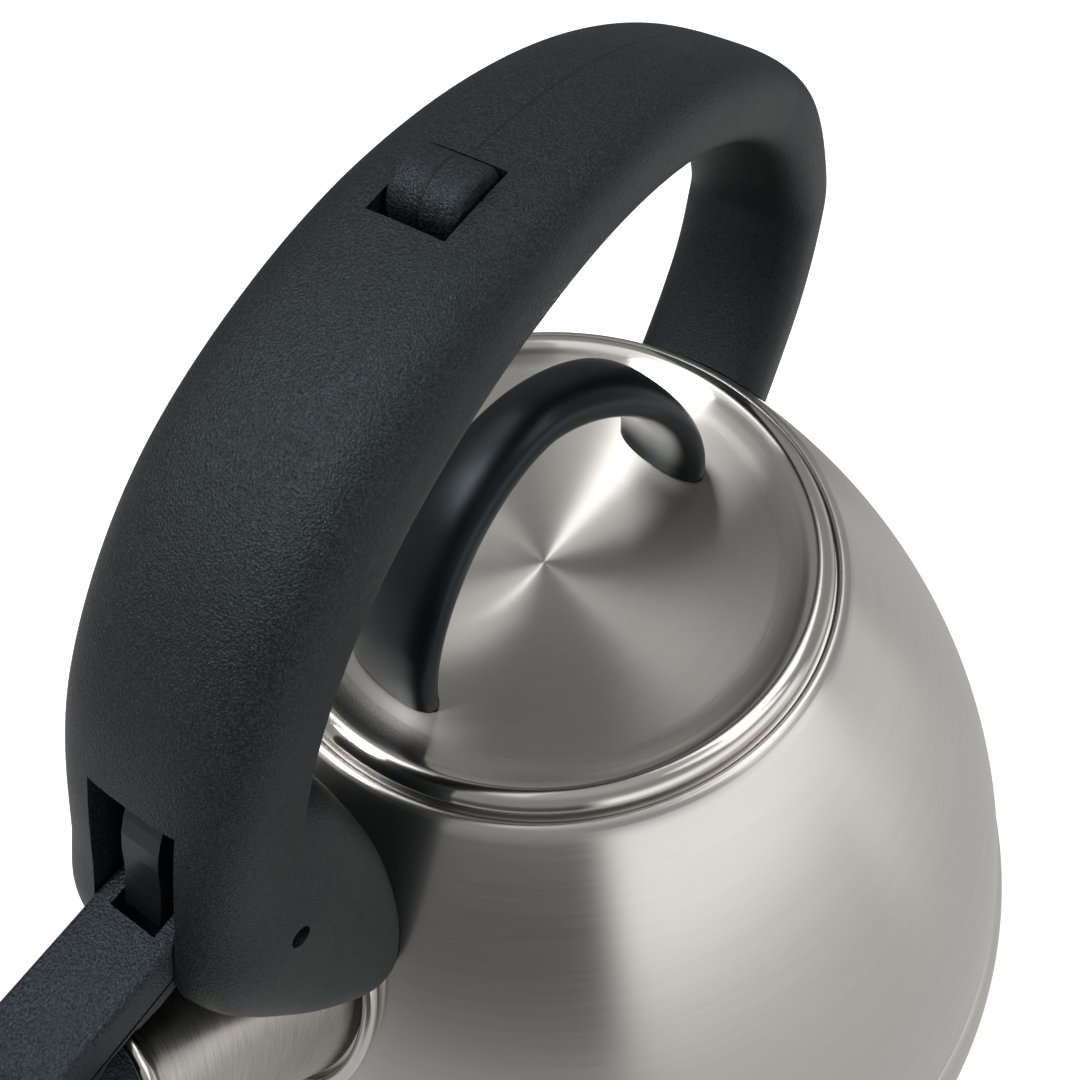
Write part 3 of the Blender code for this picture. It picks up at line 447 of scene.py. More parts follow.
def lofted(name, rings):
    """A solid through a row of rings that have the same number of points, with flat ends."""
    bm = bmesh.new()
    rows = [[bm.verts.new(point) for point in ring] for ring in rings]
    count = len(rows[0])
    for low, high in zip(rows, rows[1:]):
        for i in range(count):
            bm.faces.new((low[i - 1], low[i], high[i], high[i - 1]))
    bm.faces.new(rows[0])
    bm.faces.new(reversed(rows[-1]))
    return finish_mesh(name, bm)


def looped(name, rings):
    """A closed ring through a row of sections, the last joined to the first."""
    bm = bmesh.new()
    rows = [[bm.verts.new(point) for point in ring] for ring in rings]
    count = len(rows[0])
    for k, row in enumerate(rows):
        for i in range(count):
            bm.faces.new((rows[k - 1][i - 1], rows[k - 1][i], row[i], row[i - 1]))
    return finish_mesh(name, bm)


def plate(name, outline, half_width):
    """An outline in X and Z, extruded along Y to both sides of the middle."""
    bm = bmesh.new()
    low = [bm.verts.new((x, -half_width, z)) for x, z in outline]
    face = bm.faces.new(low)
    grown = bmesh.ops.extrude_face_region(bm, geom=[face])["geom"]
    moved = [item for item in grown if isinstance(item, bmesh.types.BMVert)]
    bmesh.ops.translate(bm, verts=moved, vec=(0, 2 * half_width, 0))
    return finish_mesh(name, bm)


def rod_between(name, start, end, radius, segments=48):
    """A round bar from start to end."""
    start, end = Vector(start), Vector(end)
    bm = bmesh.new()
    bmesh.ops.create_cone(bm, cap_ends=True, segments=segments, radius1=radius, radius2=radius,
                          depth=(end - start).length)
    turn = (end - start).to_track_quat("Z", "Y").to_matrix().to_4x4()
    bm.transform(Matrix.Translation((start + end) / 2) @ turn)
    return finish_mesh(name, bm)


def cross_bar(name, at, radius, half_length):
    """A round bar along Y through a point in X and Z."""
    x, z = at
    return rod_between(name, (x, -half_length, z), (x, half_length, z), radius, 32)


# ---- Curves and sections ----
def rectangle(left, right, low, high):
    return [(left, low), (right, low), (right, high), (left, high)]


def arc(centre, wide, tall, start, end, steps):
    """Points along an ellipse, between two angles in degrees."""
    angles = [math.radians(start + (end - start) * k / steps) for k in range(steps + 1)]
    return [(centre[0] + wide * math.cos(a), centre[1] + tall * math.sin(a)) for a in angles]


def smooth_line(points, samples):
    """Evenly spaced points along a smooth curve through the given points."""
    before = tuple(2 * a - b for a, b in zip(points[0], points[1]))
    after = tuple(2 * a - b for a, b in zip(points[-1], points[-2]))
    knots = [before] + list(points) + [after]
    dense = []
    for p0, p1, p2, p3 in zip(knots, knots[1:], knots[2:], knots[3:]):
        for step in range(24):
            t = step / 24
            dense.append(tuple(
                0.5 * (2 * b + (c - a) * t + (2 * a - 5 * b + 4 * c - d) * t * t
                       + (3 * b - a - 3 * c + d) * t ** 3)
                for a, b, c, d in zip(p0, p1, p2, p3)))
    dense.append(tuple(points[-1]))
    reach = [0.0]
    for a, b in zip(dense, dense[1:]):
        reach.append(reach[-1] + math.dist(a, b))
    line, index = [], 0
    for k in range(samples + 1):
        goal = reach[-1] * k / samples
        while index < len(reach) - 2 and reach[index + 1] < goal:
            index += 1
        t = (goal - reach[index]) / (reach[index + 1] - reach[index])
        line.append(tuple(a + (b - a) * t for a, b in zip(dense[index], dense[index + 1])))
    return line


def table_value(table, place):
    """Straight-line reading of a short table of (place, value) pairs."""
    for (a, low), (b, high) in zip(table, table[1:]):
        if place <= b:
            return low + (high - low) * (place - a) / (b - a)
    return table[-1][1]


def power(value, exponent):
    """A power that keeps the sign of the value."""
    return math.copysign(abs(value) ** exponent, value)


def body_radius(height):
    """Radius of the dome's outside."""
    rise = height - CREASE_HEIGHT
    return BODY_RADIUS - BODY_TAPER * rise - BODY_CURVE * rise * rise


def body_slope(height):
    """How much the dome's radius shrinks per metre of height."""
    return BODY_TAPER + 2 * BODY_CURVE * (height - CREASE_HEIGHT)


def dome_points(low, high, steps, offset):
    """Points of the dome between two heights, moved outwards by the offset."""
    points = []
    for k in range(steps + 1):
        height = low + (high - low) * k / steps
        points.append((body_radius(height) + offset * math.hypot(1, body_slope(height)), height))
    return points


HANDLE_SAMPLES = 480
HANDLE_DENSE = smooth_line(HANDLE_LINE, HANDLE_SAMPLES)
HANDLE_REACH = 6                # samples to each side that give the handle's direction


def handle_frame(place):
    """Point on the outer line at a share of its length, and the direction into the handle."""
    at = min(max(place * HANDLE_SAMPLES, 0), HANDLE_SAMPLES)
    low = min(int(at), HANDLE_SAMPLES - 1)
    point = [a + (b - a) * (at - low) for a, b in zip(HANDLE_DENSE[low], HANDLE_DENSE[low + 1])]
    middle = min(max(int(round(at)), HANDLE_REACH), HANDLE_SAMPLES - HANDLE_REACH)
    before, after = HANDLE_DENSE[middle - HANDLE_REACH], HANDLE_DENSE[middle + HANDLE_REACH]
    along = Vector((after[0] - before[0], 0, after[1] - before[1])).normalized()
    return Vector((point[0], 0, point[1])), Vector((-along.z, 0, along.x))


def handle_section(place, sides):
    """Rounded section of the handle: a superellipse between its outer line and its depth."""
    outer, inward = handle_frame(place)
    width, depth = table_value(HANDLE_WIDTHS, place), table_value(HANDLE_DEPTHS, place)
    ring = []
    for i in range(sides):
        angle = math.tau * (i + 0.5) / sides
        across = width * power(math.cos(angle), 2 / HANDLE_EXPONENT)
        deep = depth / 2 * (1 + power(math.sin(angle), 2 / HANDLE_EXPONENT))
        ring.append(outer + inward * deep + Vector((0, across, 0)))
    return ring


def rod_channel(start, end, steps):
    """The rod's channel: a strip that follows the handle, open on its inner side."""
    rings = []
    for k in range(steps + 1):
        place = start + (end - start) * k / steps
        outer, inward = handle_frame(place)
        through = table_value(HANDLE_DEPTHS, place) + 0.004
        corners = rectangle(HANDLE_WALL, through, -CHANNEL_WIDTH, CHANNEL_WIDTH)
        rings.append([outer + inward * deep + Vector((0, y, 0)) for deep, y in corners])
    return lofted("channel", rings)


def foot_section(height, rear, front, half_width, sides):
    """Level section of the foot, a rounded rectangle."""
    ring = []
    for i in range(sides):
        angle = math.tau * (i + 0.5) / sides
        x = (rear + front) / 2 + (front - rear) / 2 * power(math.cos(angle), FOOT_SHAPE)
        ring.append(Vector((x, half_width * power(math.sin(angle), FOOT_SHAPE), height)))
    return ring


def spout_section(place, grow, sides):
    """Oval section of the spout, from the root (0) to the mouth (1). grow is added all round."""
    def bend(line):
        a, b, c = (Vector((x, 0, z)) for x, z in line)
        return a * (1 - place) ** 2 + b * 2 * place * (1 - place) + c * place ** 2

    top, low = bend(SPOUT_TOP_LINE), bend(SPOUT_LOW_LINE)
    up = (top - low).normalized()
    tall = (top - low).length / 2 + grow
    wide = SPOUT_WIDTH + (MOUTH_WIDTH - SPOUT_WIDTH) * place + grow
    return [(top + low) / 2 + up * (tall * math.cos(math.tau * i / sides))
            + Vector((0, wide * math.sin(math.tau * i / sides), 0)) for i in range(sides)]


def spout_axis():
    """Middle of the round mouth, the direction out of it, and its upward direction."""
    top, low = (Vector((line[2][0], 0, line[2][1])) for line in (SPOUT_TOP_LINE, SPOUT_LOW_LINE))
    up = (top - low).normalized()
    return (top + low) / 2, Vector((up.z, 0, -up.x)), up


def dome_block(clearance):
    """The body with its mouth filled in, a little larger, for cutting what sits on it."""
    low, high = 0.02, 0.1190
    outline = [(0, low)] + dome_points(low, high, 60, clearance) + [(0, high)]
    return turned("dome_block", outline)


def root_ring(bead, sides=160, round_steps=20):
    """A round bead along the line where the spout meets the dome."""
    centres = []
    for i in range(sides):
        low, high = 0.0, 0.8
        for _ in range(40):
            middle = (low + high) / 2
            point = spout_section(middle, ROOT_BEAD + 2 * GAP, sides)[i]
            inside = math.hypot(point.x, point.y) < body_radius(point.z)
            low, high = (middle, high) if inside else (low, middle)
        centres.append(point)
    rings = []
    for k, point in enumerate(centres):
        along = (centres[(k + 1) % sides] - centres[k - 1]).normalized()
        radial = Vector((point.x, point.y, 0)).normalized()
        normal = (radial + Vector((0, 0, body_slope(point.z)))).normalized()
        side = along.cross(normal).normalized()
        seat = point + normal * (ROOT_BEAD + GAP)
        angles = [math.tau * i / round_steps for i in range(round_steps)]
        rings.append([seat + side * bead * math.cos(a) + normal * bead * math.sin(a)
                      for a in angles])
    return looped("root_ring", rings)


# ---- Pieces: body and spout ----
def build_body(steel, base_steel):
    bottom = CREASE_HEIGHT + GAP
    shoulder = smooth_line(((0.0570, 0.1180), (0.0563, 0.1184), (0.0556, 0.1185), (0.0550, 0.1182),
                            (0.0547, LEDGE_HEIGHT)), 16)
    ledge = [(0.0505, LEDGE_HEIGHT), (0.0498, 0.1172), (0.0494, 0.1167)]
    collar_out = COLLAR_RADIUS + SHEET
    collar = [(COLLAR_RADIUS, 0.1160), (COLLAR_RADIUS, 0.1120), (collar_out, 0.1120),
              (collar_out, 0.1160), (0.0510, 0.1164), (0.0545, 0.1164)]
    outline = (dome_points(bottom, SHOULDER_HEIGHT, 70, 0) + shoulder + ledge + collar
               + dome_points(0.1160, bottom, 40, -SHEET))
    dome = scratch(turned("body_dome", outline, FINE_ROUND))
    hole = [spout_section(k / 24, -SHEET, 64) for k in range(-2, 23)]
    combine(dome, lofted("spout_hole", hole))
    add_piece(dome, "body_dome", "kettle_body", steel, ["body_shell"])

    outer = smooth_line(LOWER_SHELL, 60)
    floor = LOWER_SHELL[-1][1]
    floor_edge = -0.0150            # the sheet is offset upwards below this height
    inner = [(max(r - SHEET, 0), z + (SHEET if z < floor_edge else 0.0))
             for r, z in reversed(outer)]
    outline = outer + [(0, floor), (0, floor + SHEET)] + inner
    lower = scratch(turned("lower_body", outline, FINE_ROUND))
    add_piece(lower, "lower_body", "kettle_body", steel, ["lower_shell"])

    under, edge = -LIFT, 0.0014
    corner = arc((BASE_RADIUS - edge, under + edge), edge, edge, -90, 0, 9)
    wall, top, inside = BASE_RADIUS - BASE_WALL, floor - GAP, under + BASE_FLOOR
    outline = [(0, under)] + corner + [(BASE_RADIUS, top), (wall, top), (wall, inside), (0, inside)]
    base = scratch(turned("base_disc", outline))
    for ring in range(4):
        groove = arc((0.026 + 0.018 * ring, under), 0.0012, 0.0005, 0, 324, 9)
        combine(base, turned("base_groove", groove))
    add_piece(base, "base_disc", "kettle_body", base_steel, ["base_cap"])


def build_spout(steel, mirror):
    sides, steps = 96, 40
    outer = [spout_section(k / steps, 0, sides) for k in range(steps - 2)]
    lip = ((0.950, 0.0), (0.958, 0.0002), (0.965, 0.0006), (0.974, 0.0009), (0.984, 0.0009),
           (0.993, 0.0006), (1.0, 0.0001))
    outer += [spout_section(place, grow, sides) for place, grow in lip]
    tube = scratch(lofted("spout", outer))
    combine(tube, dome_block(GAP))
    bore = [spout_section(k / steps, -SHEET, sides) for k in range(-6, steps - 1)]
    flare = ((0.985, -SHEET), (1.0, -0.0006), (1.02, -0.0002))
    bore += [spout_section(place, grow, sides) for place, grow in flare]
    combine(tube, lofted("spout_bore", bore))
    add_piece(tube, "spout", "kettle_body", steel, ["spout_tube"])
    rim = tube.data
    rim.materials.append(mirror)
    middle, out, _ = spout_axis()
    mouth = middle + Vector((0, 0, LIFT))
    for face in rim.polygons:
        if (face.center - mouth).dot(out) > -LIP_LENGTH:
            face.material_index = 1
    add_piece(scratch(root_ring(ROOT_BEAD)), "spout_bead", "kettle_body", mirror,
              ["spout_root_ring"])


# ---- Pieces: lid ----
def lid_surface(radius):
    """Height of the lid's dished top."""
    return LID_CENTRE_HEIGHT + LID_DISH * (radius / LID_BED_RADIUS) ** 2.4


def arch_point(angle):
    """Outer line of the strap, from its front foot (0) over the top to its rear foot (pi)."""
    rise = max(math.sin(angle), 0) ** STRAP_SHAPE
    run = STRAP_REACH * power(math.cos(angle), STRAP_SHAPE)
    return Vector((STRAP_SHIFT + run, 0, STRAP_BASE + STRAP_RISE * rise))


def build_lid(steel, sheet, plastic):
    turn = Matrix.Rotation(LID_TURN, 4, "Z")
    edge, seat = LID_FLAT_RADIUS, LEDGE_HEIGHT + GAP
    radii = [edge * k / 40 for k in range(41)]
    top = [(r, lid_surface(r)) for r in radii]
    crown = smooth_line(
        ((edge, lid_surface(edge)), (0.0460, 0.1188), (0.0479, 0.1199), (0.0496, 0.1210),
         (0.0511, 0.1216), (0.0526, 0.1213), (0.0537, 0.1203), (0.0542, 0.1191),
         (0.0537, 0.1181), (0.0528, seat)), 72)[1:]
    inside = smooth_line(
        ((0.0516, seat), (0.0525, 0.1184), (0.0530, 0.1192), (0.0526, 0.1200), (0.0519, 0.1204),
         (0.0510, 0.1206), (0.0500, 0.1201), (0.0484, 0.1191), (0.0463, 0.1179)), 36)
    under = [(r, lid_surface(r) - SHEET) for r in reversed(radii)]
    disc = scratch(turned("lid_disc_top", top + crown + inside + under, FINE_ROUND))
    for side in (1, -1):
        x = STRAP_SHIFT + side * (STRAP_REACH - STRAP_THICKNESS / 2)
        combine(disc, rod_between("lid_hole", (x, 0, 0.106), (x, 0, 0.1245), 0.0018))
    add_piece(disc, "lid_disc_top", "lid", steel, ["lid_disc"], 50, turn)

    outer, low, high = LID_SKIRT_RADIUS, LID_SKIRT_LOW, 0.1164
    ring = turned("lid_skirt_ring", [(outer - SHEET, low), (outer, low), (outer, high),
                                     (outer - 0.0005, 0.1170), (outer - SHEET, high)])
    add_piece(scratch(ring), "lid_skirt_ring", "lid", sheet, ["lid_skirt"],
              on=turn)

    strap = scratch(lofted("lid_strap", strap_rings(48, 120)))
    bed = [(0, 0.108), (0.0485, 0.108), (0.0485, 0.1203)]
    steps = 24
    bed += [(r, lid_surface(r) + GAP)
            for r in (LID_BED_RADIUS * k / steps for k in range(steps, -1, -1))]
    combine(strap, turned("lid_bed", bed))
    add_piece(strap, "lid_strap", "lid", plastic, ["lid_handle"], on=turn)


def strap_rings(sides, steps):
    """Rounded sections of the lid's strap, along its arch and a little way down into the lid."""
    half, shape = STRAP_THICKNESS / 2, 0.85
    angles = [math.tau * i / sides for i in range(sides)]
    rings = []
    for k in range(steps + 1):
        angle = math.pi * k / steps
        ahead = arch_point(math.pi * min(k + 0.5, steps) / steps)
        behind = arch_point(math.pi * max(k - 0.5, 0) / steps)
        along = (ahead - behind).normalized()
        if k in (0, steps):
            along = Vector((0, 0, 1 if k == 0 else -1))
        inward = Vector((-along.z, 0, along.x))
        spread = (STRAP_FOOT_WIDTH - STRAP_TOP_WIDTH) * math.cos(angle) ** 2
        width = STRAP_TOP_WIDTH + spread
        middle = arch_point(angle) + inward * half
        rings.append([middle + inward * (half * power(math.sin(a), shape))
                      + Vector((0, width * power(math.cos(a), shape), 0)) for a in angles])
    down = Vector((0, 0, STRAP_ENDS))
    first, last = ([point - down for point in ring] for ring in (rings[0], rings[-1]))
    return [first] + rings + [last]


# ---- Pieces: handle ----
def smoothed(obj, name, iterations, group=""):
    """Adds a smoothing step, over the whole object or over one vertex group."""
    step = obj.modifiers.new(name, "SMOOTH")
    step.factor = 0.5
    step.iterations = iterations
    step.vertex_group = group


def blended_handle():
    """The handle and its foot as one soft moulded skin, before anything is cut from it."""
    shell = scratch(lofted("handle_skin", [handle_section(k / 150, 64) for k in range(151)]))
    levels = smooth_line(FOOT_LEVELS, 60)
    combine(shell, lofted("foot_block", [foot_section(*row, 64) for row in levels]), "UNION")
    remesh = shell.modifiers.new("skin", "REMESH")
    remesh.mode = "VOXEL"
    remesh.voxel_size = SKIN_VOXEL
    settled(shell)
    blend = shell.vertex_groups.new(name="blend")
    for vert in shell.data.vertices:
        near = 1 - min(abs(vert.co.z - BLEND_HEIGHT) / BLEND_REACH, 1)
        if vert.co.x > 0.03 and near > 0:
            blend.add([vert.index], min(near * 1.6, 1), "REPLACE")
    smoothed(shell, "smooth", 14)
    smoothed(shell, "blend", 16, "blend")
    return settled(shell)


def build_handle(plastic):
    shell = blended_handle()
    combine(shell, dome_block(1.5 * GAP))
    room = [spout_section(k / 40, 2 * GAP, 96) for k in range(-6, 46)]
    combine(shell, lofted("spout_room", room))
    combine(shell, root_ring(ROOT_BEAD + 3 * GAP))
    combine(shell, rod_channel(0.1, 0.55, 120))
    slot = [(0.1030, LEVER_ROOM_FLOOR), (0.1030, 0.1640), (0.0866, SLOT_TOP), (0.0800, SLOT_TOP),
            (0.0722, 0.1560), (0.0715, LEVER_ROOM_FLOOR)]
    combine(shell, plate("slot", slot, SLOT_WIDTH))
    opening = rectangle(*TRIGGER_SLOT, 0.2020, 0.2140)
    combine(shell, plate("trigger_slot", opening, TRIGGER_SLOT_WIDTH))
    combine(shell, cross_bar("lever_pin_hole", LEVER_PIVOT, 0.0016, 0.03))
    add_piece(shell, "handle", "kettle_body", plastic, ["handle_shell"], 45)


def build_trigger(plastic):
    px, pz = TRIGGER_PIVOT

    def placed(points):
        return [(px + x / 1000, pz + z / 1000) for x, z in points]

    pad = smooth_line([(-4.9, 1.2), (-5.1, 5.2), (-4.6, 7.4), (-3.2, 8.6), (-0.8, 9.0), (1.6, 8.7),
                       (3.5, 7.7), (4.7, 6.0), (5.1, 4.0), (4.7, 1.4)], 48)
    button = scratch(plate("trigger", placed(pad + [(2.3, -1.2), (-2.3, -1.2)]), 0.0052))
    soften(button, 0.0022, 7)
    arm = placed([(-1.9, -0.6), (1.9, -0.6), (2.0, -7.4), (-2.0, -7.4)])
    combine(button, plate("trigger_arm", arm, 0.0046), "UNION")
    combine(button, plate("trigger_gap", placed(rectangle(-4.0, 4.0, -9.5, -3.0)), 0.0021))
    combine(button, plate("trigger_eye", placed(rectangle(-1.3, 1.3, -9.5, -5.2)), 0.006))
    combine(button, cross_bar("trigger_bore", TRIGGER_PIVOT, 0.0012, 0.01))
    add_piece(button, "thumb_trigger", "trigger", plastic, ["trigger_button"], 50)


def build_lever(plastic):
    middle, out, up = spout_axis()
    face = middle + out * (CAP_LENGTH + 2 * GAP)

    def on_face(along, rise):
        point = face + out * along + up * rise
        return (point.x, point.z)

    hub_x, hub_z = LEVER_PIVOT
    tail = arc((hub_x, hub_z - 0.0004), 0.0062, 0.0057, 105, 255, 25)
    under = [(hub_x, LEVER_BOTTOM - 0.0018), (0.0895, LEVER_BOTTOM), (0.1085, LEVER_BOTTOM),
             (0.1180, 0.1330)]
    nose = smooth_line([on_face(-0.001, -0.0035), on_face(0.0010, -0.0050),
                        on_face(0.0030, -0.0030), on_face(0.0034, 0.0040),
                        on_face(0.0026, 0.0110), (0.1165, 0.1455), (0.1120, LEVER_TOP)], 40)
    lever = scratch(plate("lever", [(hub_x, LEVER_TOP)] + tail + under + nose, LEVER_WIDTH))
    soften(lever, 0.0017, 4)
    combine(lever, rod_between("cap_room", middle - out * 0.02, face, CAP_RADIUS + GAP, 96))
    combine(lever, plate("lever_pocket", rectangle(0.0790, 0.0945, 0.125, 0.155), 0.0040))
    for side in (1, -1):            # the line where the lower plate meets the lever
        groove = plate("plate_gap", rectangle(0.0880, 0.1150, 0.1397, 0.1403), 0.0011)
        groove.transform(Matrix.Translation((0, side * LEVER_WIDTH, 0)))
        combine(lever, groove)
    combine(lever, cross_bar("lever_bore", LEVER_PIVOT, 0.0018, 0.01))
    combine(lever, cross_bar("link_bore", LEVER_LINK, 0.0009, 0.0062))
    combine(lever, rod_between("sound_hole", face - out * 0.01, face + out * 0.01, 0.0030))
    add_piece(lever, "spout_lever", "lever", plastic, ["whistle_lever"], 42)

    start, end, edge = 0.0006, 0.0006 + CAP_LENGTH, 0.0014
    inner, back = CAP_RADIUS - CAP_WALL, end - CAP_WALL
    skirt = [(inner, start), (CAP_RADIUS - 0.0004, start), (CAP_RADIUS, start + 0.0005),
             (CAP_RADIUS, end - 0.0030)]
    rim = arc((CAP_RADIUS - edge, end - edge), edge, edge, 0, 90, 9)
    hole = [(0.0028, end), (0.0024, end - 0.0004), (0.0024, back)]
    bottom = [(inner - 0.0008, back), (inner, back - 0.0008)]
    cap = turned("cap", skirt + rim + hole + bottom, 96)
    cap.transform(Matrix.Translation(middle) @ out.to_track_quat("Z", "Y").to_matrix().to_4x4())
    add_piece(scratch(cap), "spout_cap", "lever", plastic, ["whistle_cap"])


# ---- Carried-over CAD nodes ----
def finish_node(name, finish, bevel=0.0):
    """Gives a CAD node that still shows its material, and soft edges if it has a bevel."""
    node = nodes[name]
    node.data.materials.clear()
    node.data.materials.append(finish)
    if bevel:
        step = node.modifiers.new("soften", "BEVEL")
        step.width = bevel
        step.segments = 2
        step.limit_method = "ANGLE"
        step.angle_limit = math.radians(35)


# ---- Stage ----
CAMERA_AT = (0.0997, 0.0721, 0.3120)
CAMERA_AZIMUTH = math.radians(126.14)
CAMERA_ELEVATION = math.radians(54.22)
CAMERA_ROLL = math.radians(-3.10)
CAMERA_LENS = 37.24


def build_camera():
    data = bpy.data.cameras.new("camera")
    data.lens = CAMERA_LENS
    data.sensor_width = 36
    data.clip_start = 0.005
    camera = bpy.data.objects.new("camera", data)
    bpy.context.scene.collection.objects.link(camera)
    a, e, r = CAMERA_AZIMUTH, CAMERA_ELEVATION, CAMERA_ROLL
    back = Vector((math.sin(a) * math.cos(e), -math.cos(a) * math.cos(e), math.sin(e)))
    level = Vector((math.cos(a), math.sin(a), 0))
    raised = back.cross(level)
    right = math.cos(r) * level + math.sin(r) * raised
    up = math.cos(r) * raised - math.sin(r) * level
    placed = Matrix((right, up, back)).transposed().to_4x4()
    placed.translation = CAMERA_AT
    camera.matrix_world = placed
    bpy.context.scene.camera = camera


def softbox(name, at, width, height, watts):
    """A rectangular area light that faces the kettle's middle."""
    data = bpy.data.lights.new(name, "AREA")
    data.shape = "RECTANGLE"
    data.size = width
    data.size_y = height
    data.energy = watts
    lamp = bpy.data.objects.new(name, data)
    lamp.location = at
    facing = Vector(LIGHTS_FACE) - Vector(at)
    lamp.rotation_euler = facing.to_track_quat("-Z", "Y").to_euler()
    bpy.context.scene.collection.objects.link(lamp)


LIGHTS_FACE = (0, 0, 0.12)
SOFTBOXES = (                   # name, place, width, height, power in watts
    ("strip", (-0.15, -0.47, 1.15), 0.38, 0.34, 0.8),
    ("long_strip", (-0.52, 0.12, 1.15), 0.66, 0.34, 1.4),
    ("front", (0.52, -0.40, 1.18), 0.36, 0.36, 7.0),
    ("fill", (-0.25, 0.75, 1.12), 0.5, 0.7, 1.6),
    ("top", (0.15, -0.35, 1.42), 0.7, 0.7, 1.0),
)

# Soft panels of the studio round the kettle: compass direction and height of the middle, half
# width, half height and softness (all in degrees), then brightness. 0 is ahead of the spout and
# 90 is the +Y side.
STUDIO_PANELS = (
    (84.0, 5.0, 36.0, 13.0, 12.0, 1.53),
    (126.0, -14.0, 18.0, 9.0, 12.0, 0.95),
    (20.0, -4.0, 26.0, 14.0, 9.0, 0.08),
    (-140.0, -12.0, 44.0, 22.0, 20.0, 0.15),
)
WORLD_BELOW = 0.595             # brightness under the horizon
WORLD_ABOVE = (48.0, 80.0, 0.36, 0.56)  # it rises between two heights, from and to these values


def build_world():
    """A white background for the camera, and the soft studio panels that the steel reflects."""
    world = bpy.data.worlds.new("studio")
    world.use_nodes = True
    tree = world.node_tree

    def node(kind, inputs, **settings):
        made = tree.nodes.new(kind)
        for key, value in settings.items():
            setattr(made, key, value)
        for socket, value in inputs.items():
            if isinstance(value, bpy.types.NodeSocket):
                tree.links.new(value, made.inputs[socket])
            else:
                made.inputs[socket].default_value = value
        return made

    def math_node(operation, a, b=0.0):
        return node("ShaderNodeMath", {0: a, 1: b}, operation=operation).outputs[0]

    def smooth_span(value, low, high, to_low=0.0, to_high=1.0):
        inputs = {"Value": value, "From Min": low, "From Max": high,
                  "To Min": to_low, "To Max": to_high}
        return node("ShaderNodeMapRange", inputs, interpolation_type="SMOOTHSTEP").outputs["Result"]

    def inside(value, half, soft):
        """1 where the value is well under half, 0 where it is well over, with a soft edge."""
        return smooth_span(value, half + soft / 2, half - soft / 2)

    def blend(share, low, high):
        return node("ShaderNodeMix", {"Factor": share, 2: low, 3: high}).outputs[0]

    direction = node("ShaderNodeTexCoord", {}).outputs["Generated"]
    split = node("ShaderNodeSeparateXYZ", {0: direction})
    compass = math_node("DEGREES", math_node("ARCTAN2", split.outputs[1], split.outputs[0]))
    height = math_node("DEGREES", math_node("ARCSINE", split.outputs[2]))
    shine = blend(smooth_span(height, 2.0, -14.0), smooth_span(height, *WORLD_ABOVE), WORLD_BELOW)
    for middle, rise, half_wide, half_high, soft, brightness in STUDIO_PANELS:
        turn = math_node("SUBTRACT", compass, middle)
        turn = node("ShaderNodeMath", {0: turn, 1: 180.0, 2: -180.0}, operation="WRAP").outputs[0]
        across = inside(math_node("ABSOLUTE", turn), half_wide, soft)
        lift = math_node("ABSOLUTE", math_node("SUBTRACT", height, rise))
        share = math_node("MULTIPLY", across, inside(lift, half_high, soft))
        shine = blend(share, shine, brightness)
    studio = node("ShaderNodeBackground", {"Color": (1.0, 0.99, 0.975, 1), "Strength": shine})
    white = node("ShaderNodeBackground", {"Color": (1, 1, 1, 1), "Strength": 1.0})
    seen = node("ShaderNodeLightPath", {}).outputs["Is Camera Ray"]
    choose = node("ShaderNodeMixShader", {0: seen, 1: studio.outputs[0], 2: white.outputs[0]})
    tree.links.new(choose.outputs[0], tree.nodes["World Output"].inputs["Surface"])
    bpy.context.scene.world = world


def build_stage():
    """The pale floor, which only the camera sees, with the world and the softboxes."""
    bm = bmesh.new()
    bmesh.ops.create_grid(bm, x_segments=1, y_segments=1, size=3.0)
    floor = scratch(finish_mesh("floor", bm))
    paint = Nodes("floor_paint", Roughness=0.9, Emission_Strength=0.62,
                  Emission_Color=(1, 1, 1, 1))
    cloud = paint.noise(paint.place()[0], 3.0)
    paint.link(paint.mix(cloud, (0.88, 0.88, 0.88), (0.92, 0.92, 0.92)), "Base Color")
    floor.data.materials.append(paint.material)
    floor.visible_glossy = False
    floor.visible_diffuse = False
    build_world()
    bpy.context.scene.view_settings.view_transform = "Standard"
    for values in SOFTBOXES:
        softbox(*values)


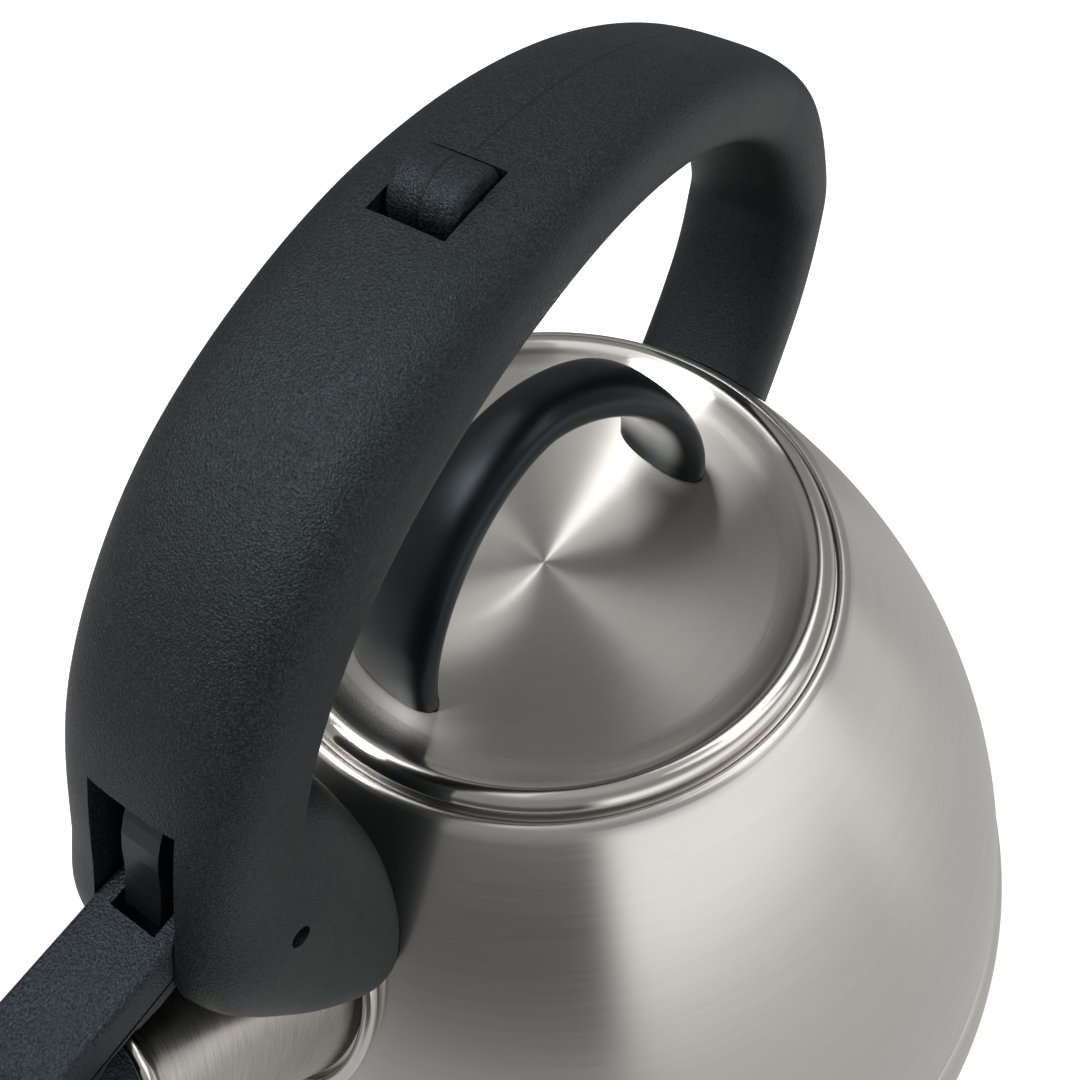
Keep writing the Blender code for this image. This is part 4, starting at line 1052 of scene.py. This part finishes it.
HIDDEN_STEEL_NODES = ("handle_front_boss", "handle_rear_bracket", "whistle_outer_disc",
                      "whistle_inner_disc", "whistle_spacer")
FIXING_NODES = ("handle_front_screw", "handle_rear_screw", "lever_pivot_pin", "trigger_pivot_pin",
                "lever_spring", "rod_top_pin", "lever_link_pin", "lid_front_washer",
                "lid_rear_washer", "lid_front_screw", "lid_rear_screw")


def main():
    body_steel = brushed_round("body_steel", (0.60, 0.585, 0.555), (0.56, 0.545, 0.517),
                               0.26, 0.65, "height", 0.000001)
    lid_steel = brushed_round("lid_steel", (0.58, 0.565, 0.530), (0.54, 0.525, 0.493),
                              0.30, 1.0, "radius", 0.000001, (0.0435, 0.0500, 0.13))
    base_steel = brushed_round("base_steel", (0.60, 0.585, 0.56), (0.46, 0.45, 0.43),
                               0.36, 0.5, "radius", 0.000014)
    spout_steel = brushed_spout()
    mirror = polished("mirror_steel", (0.66, 0.645, 0.615), 0.15)
    # The second colour of each grained plastic gives its bright specks, which are painted glints.
    black = grained_plastic("black_plastic", (0.0010, 0.0017, 0.0022), (0.0230, 0.0295, 0.0335),
                            3600.0, 0.00015, 0.39, seam=(0.0095, 0.1990, True))
    coarse = grained_plastic("coarse_plastic", (0.0012, 0.0020, 0.0028), (0.0260, 0.0340, 0.0430),
                             3000.0, 0.00018, 0.42)
    button = grained_plastic("button_plastic", (0.0015, 0.0024, 0.0032), (0.0240, 0.0310, 0.0380),
                             3600.0, 0.00015, 0.36, seam=(-0.1, 0.2, False))
    satin = satin_plastic()
    fixings = plain_metal("fixing_steel", (0.55, 0.55, 0.55), 0.32)
    hidden_steel = plain_metal("sheet_steel", (0.55, 0.54, 0.51), 0.34)
    aluminium = plain_metal("aluminium", (0.72, 0.72, 0.72), 0.42)

    build_body(body_steel, base_steel)
    build_spout(spout_steel, mirror)
    build_lid(lid_steel, hidden_steel, satin)
    build_handle(black)
    build_trigger(button)
    build_lever(coarse)

    finish_node("handle_inner_cover", black)
    finish_node("pull_rod", satin, 0.0002)
    finish_node("lever_lower_plate", coarse, 0.0002)
    finish_node("heat_spreader", aluminium)
    finish_node("cap_seal", seal_rubber())
    for name in HIDDEN_STEEL_NODES:
        finish_node(name, hidden_steel)
    for name in FIXING_NODES:
        finish_node(name, fixings)

    build_stage()
    build_camera()


main()
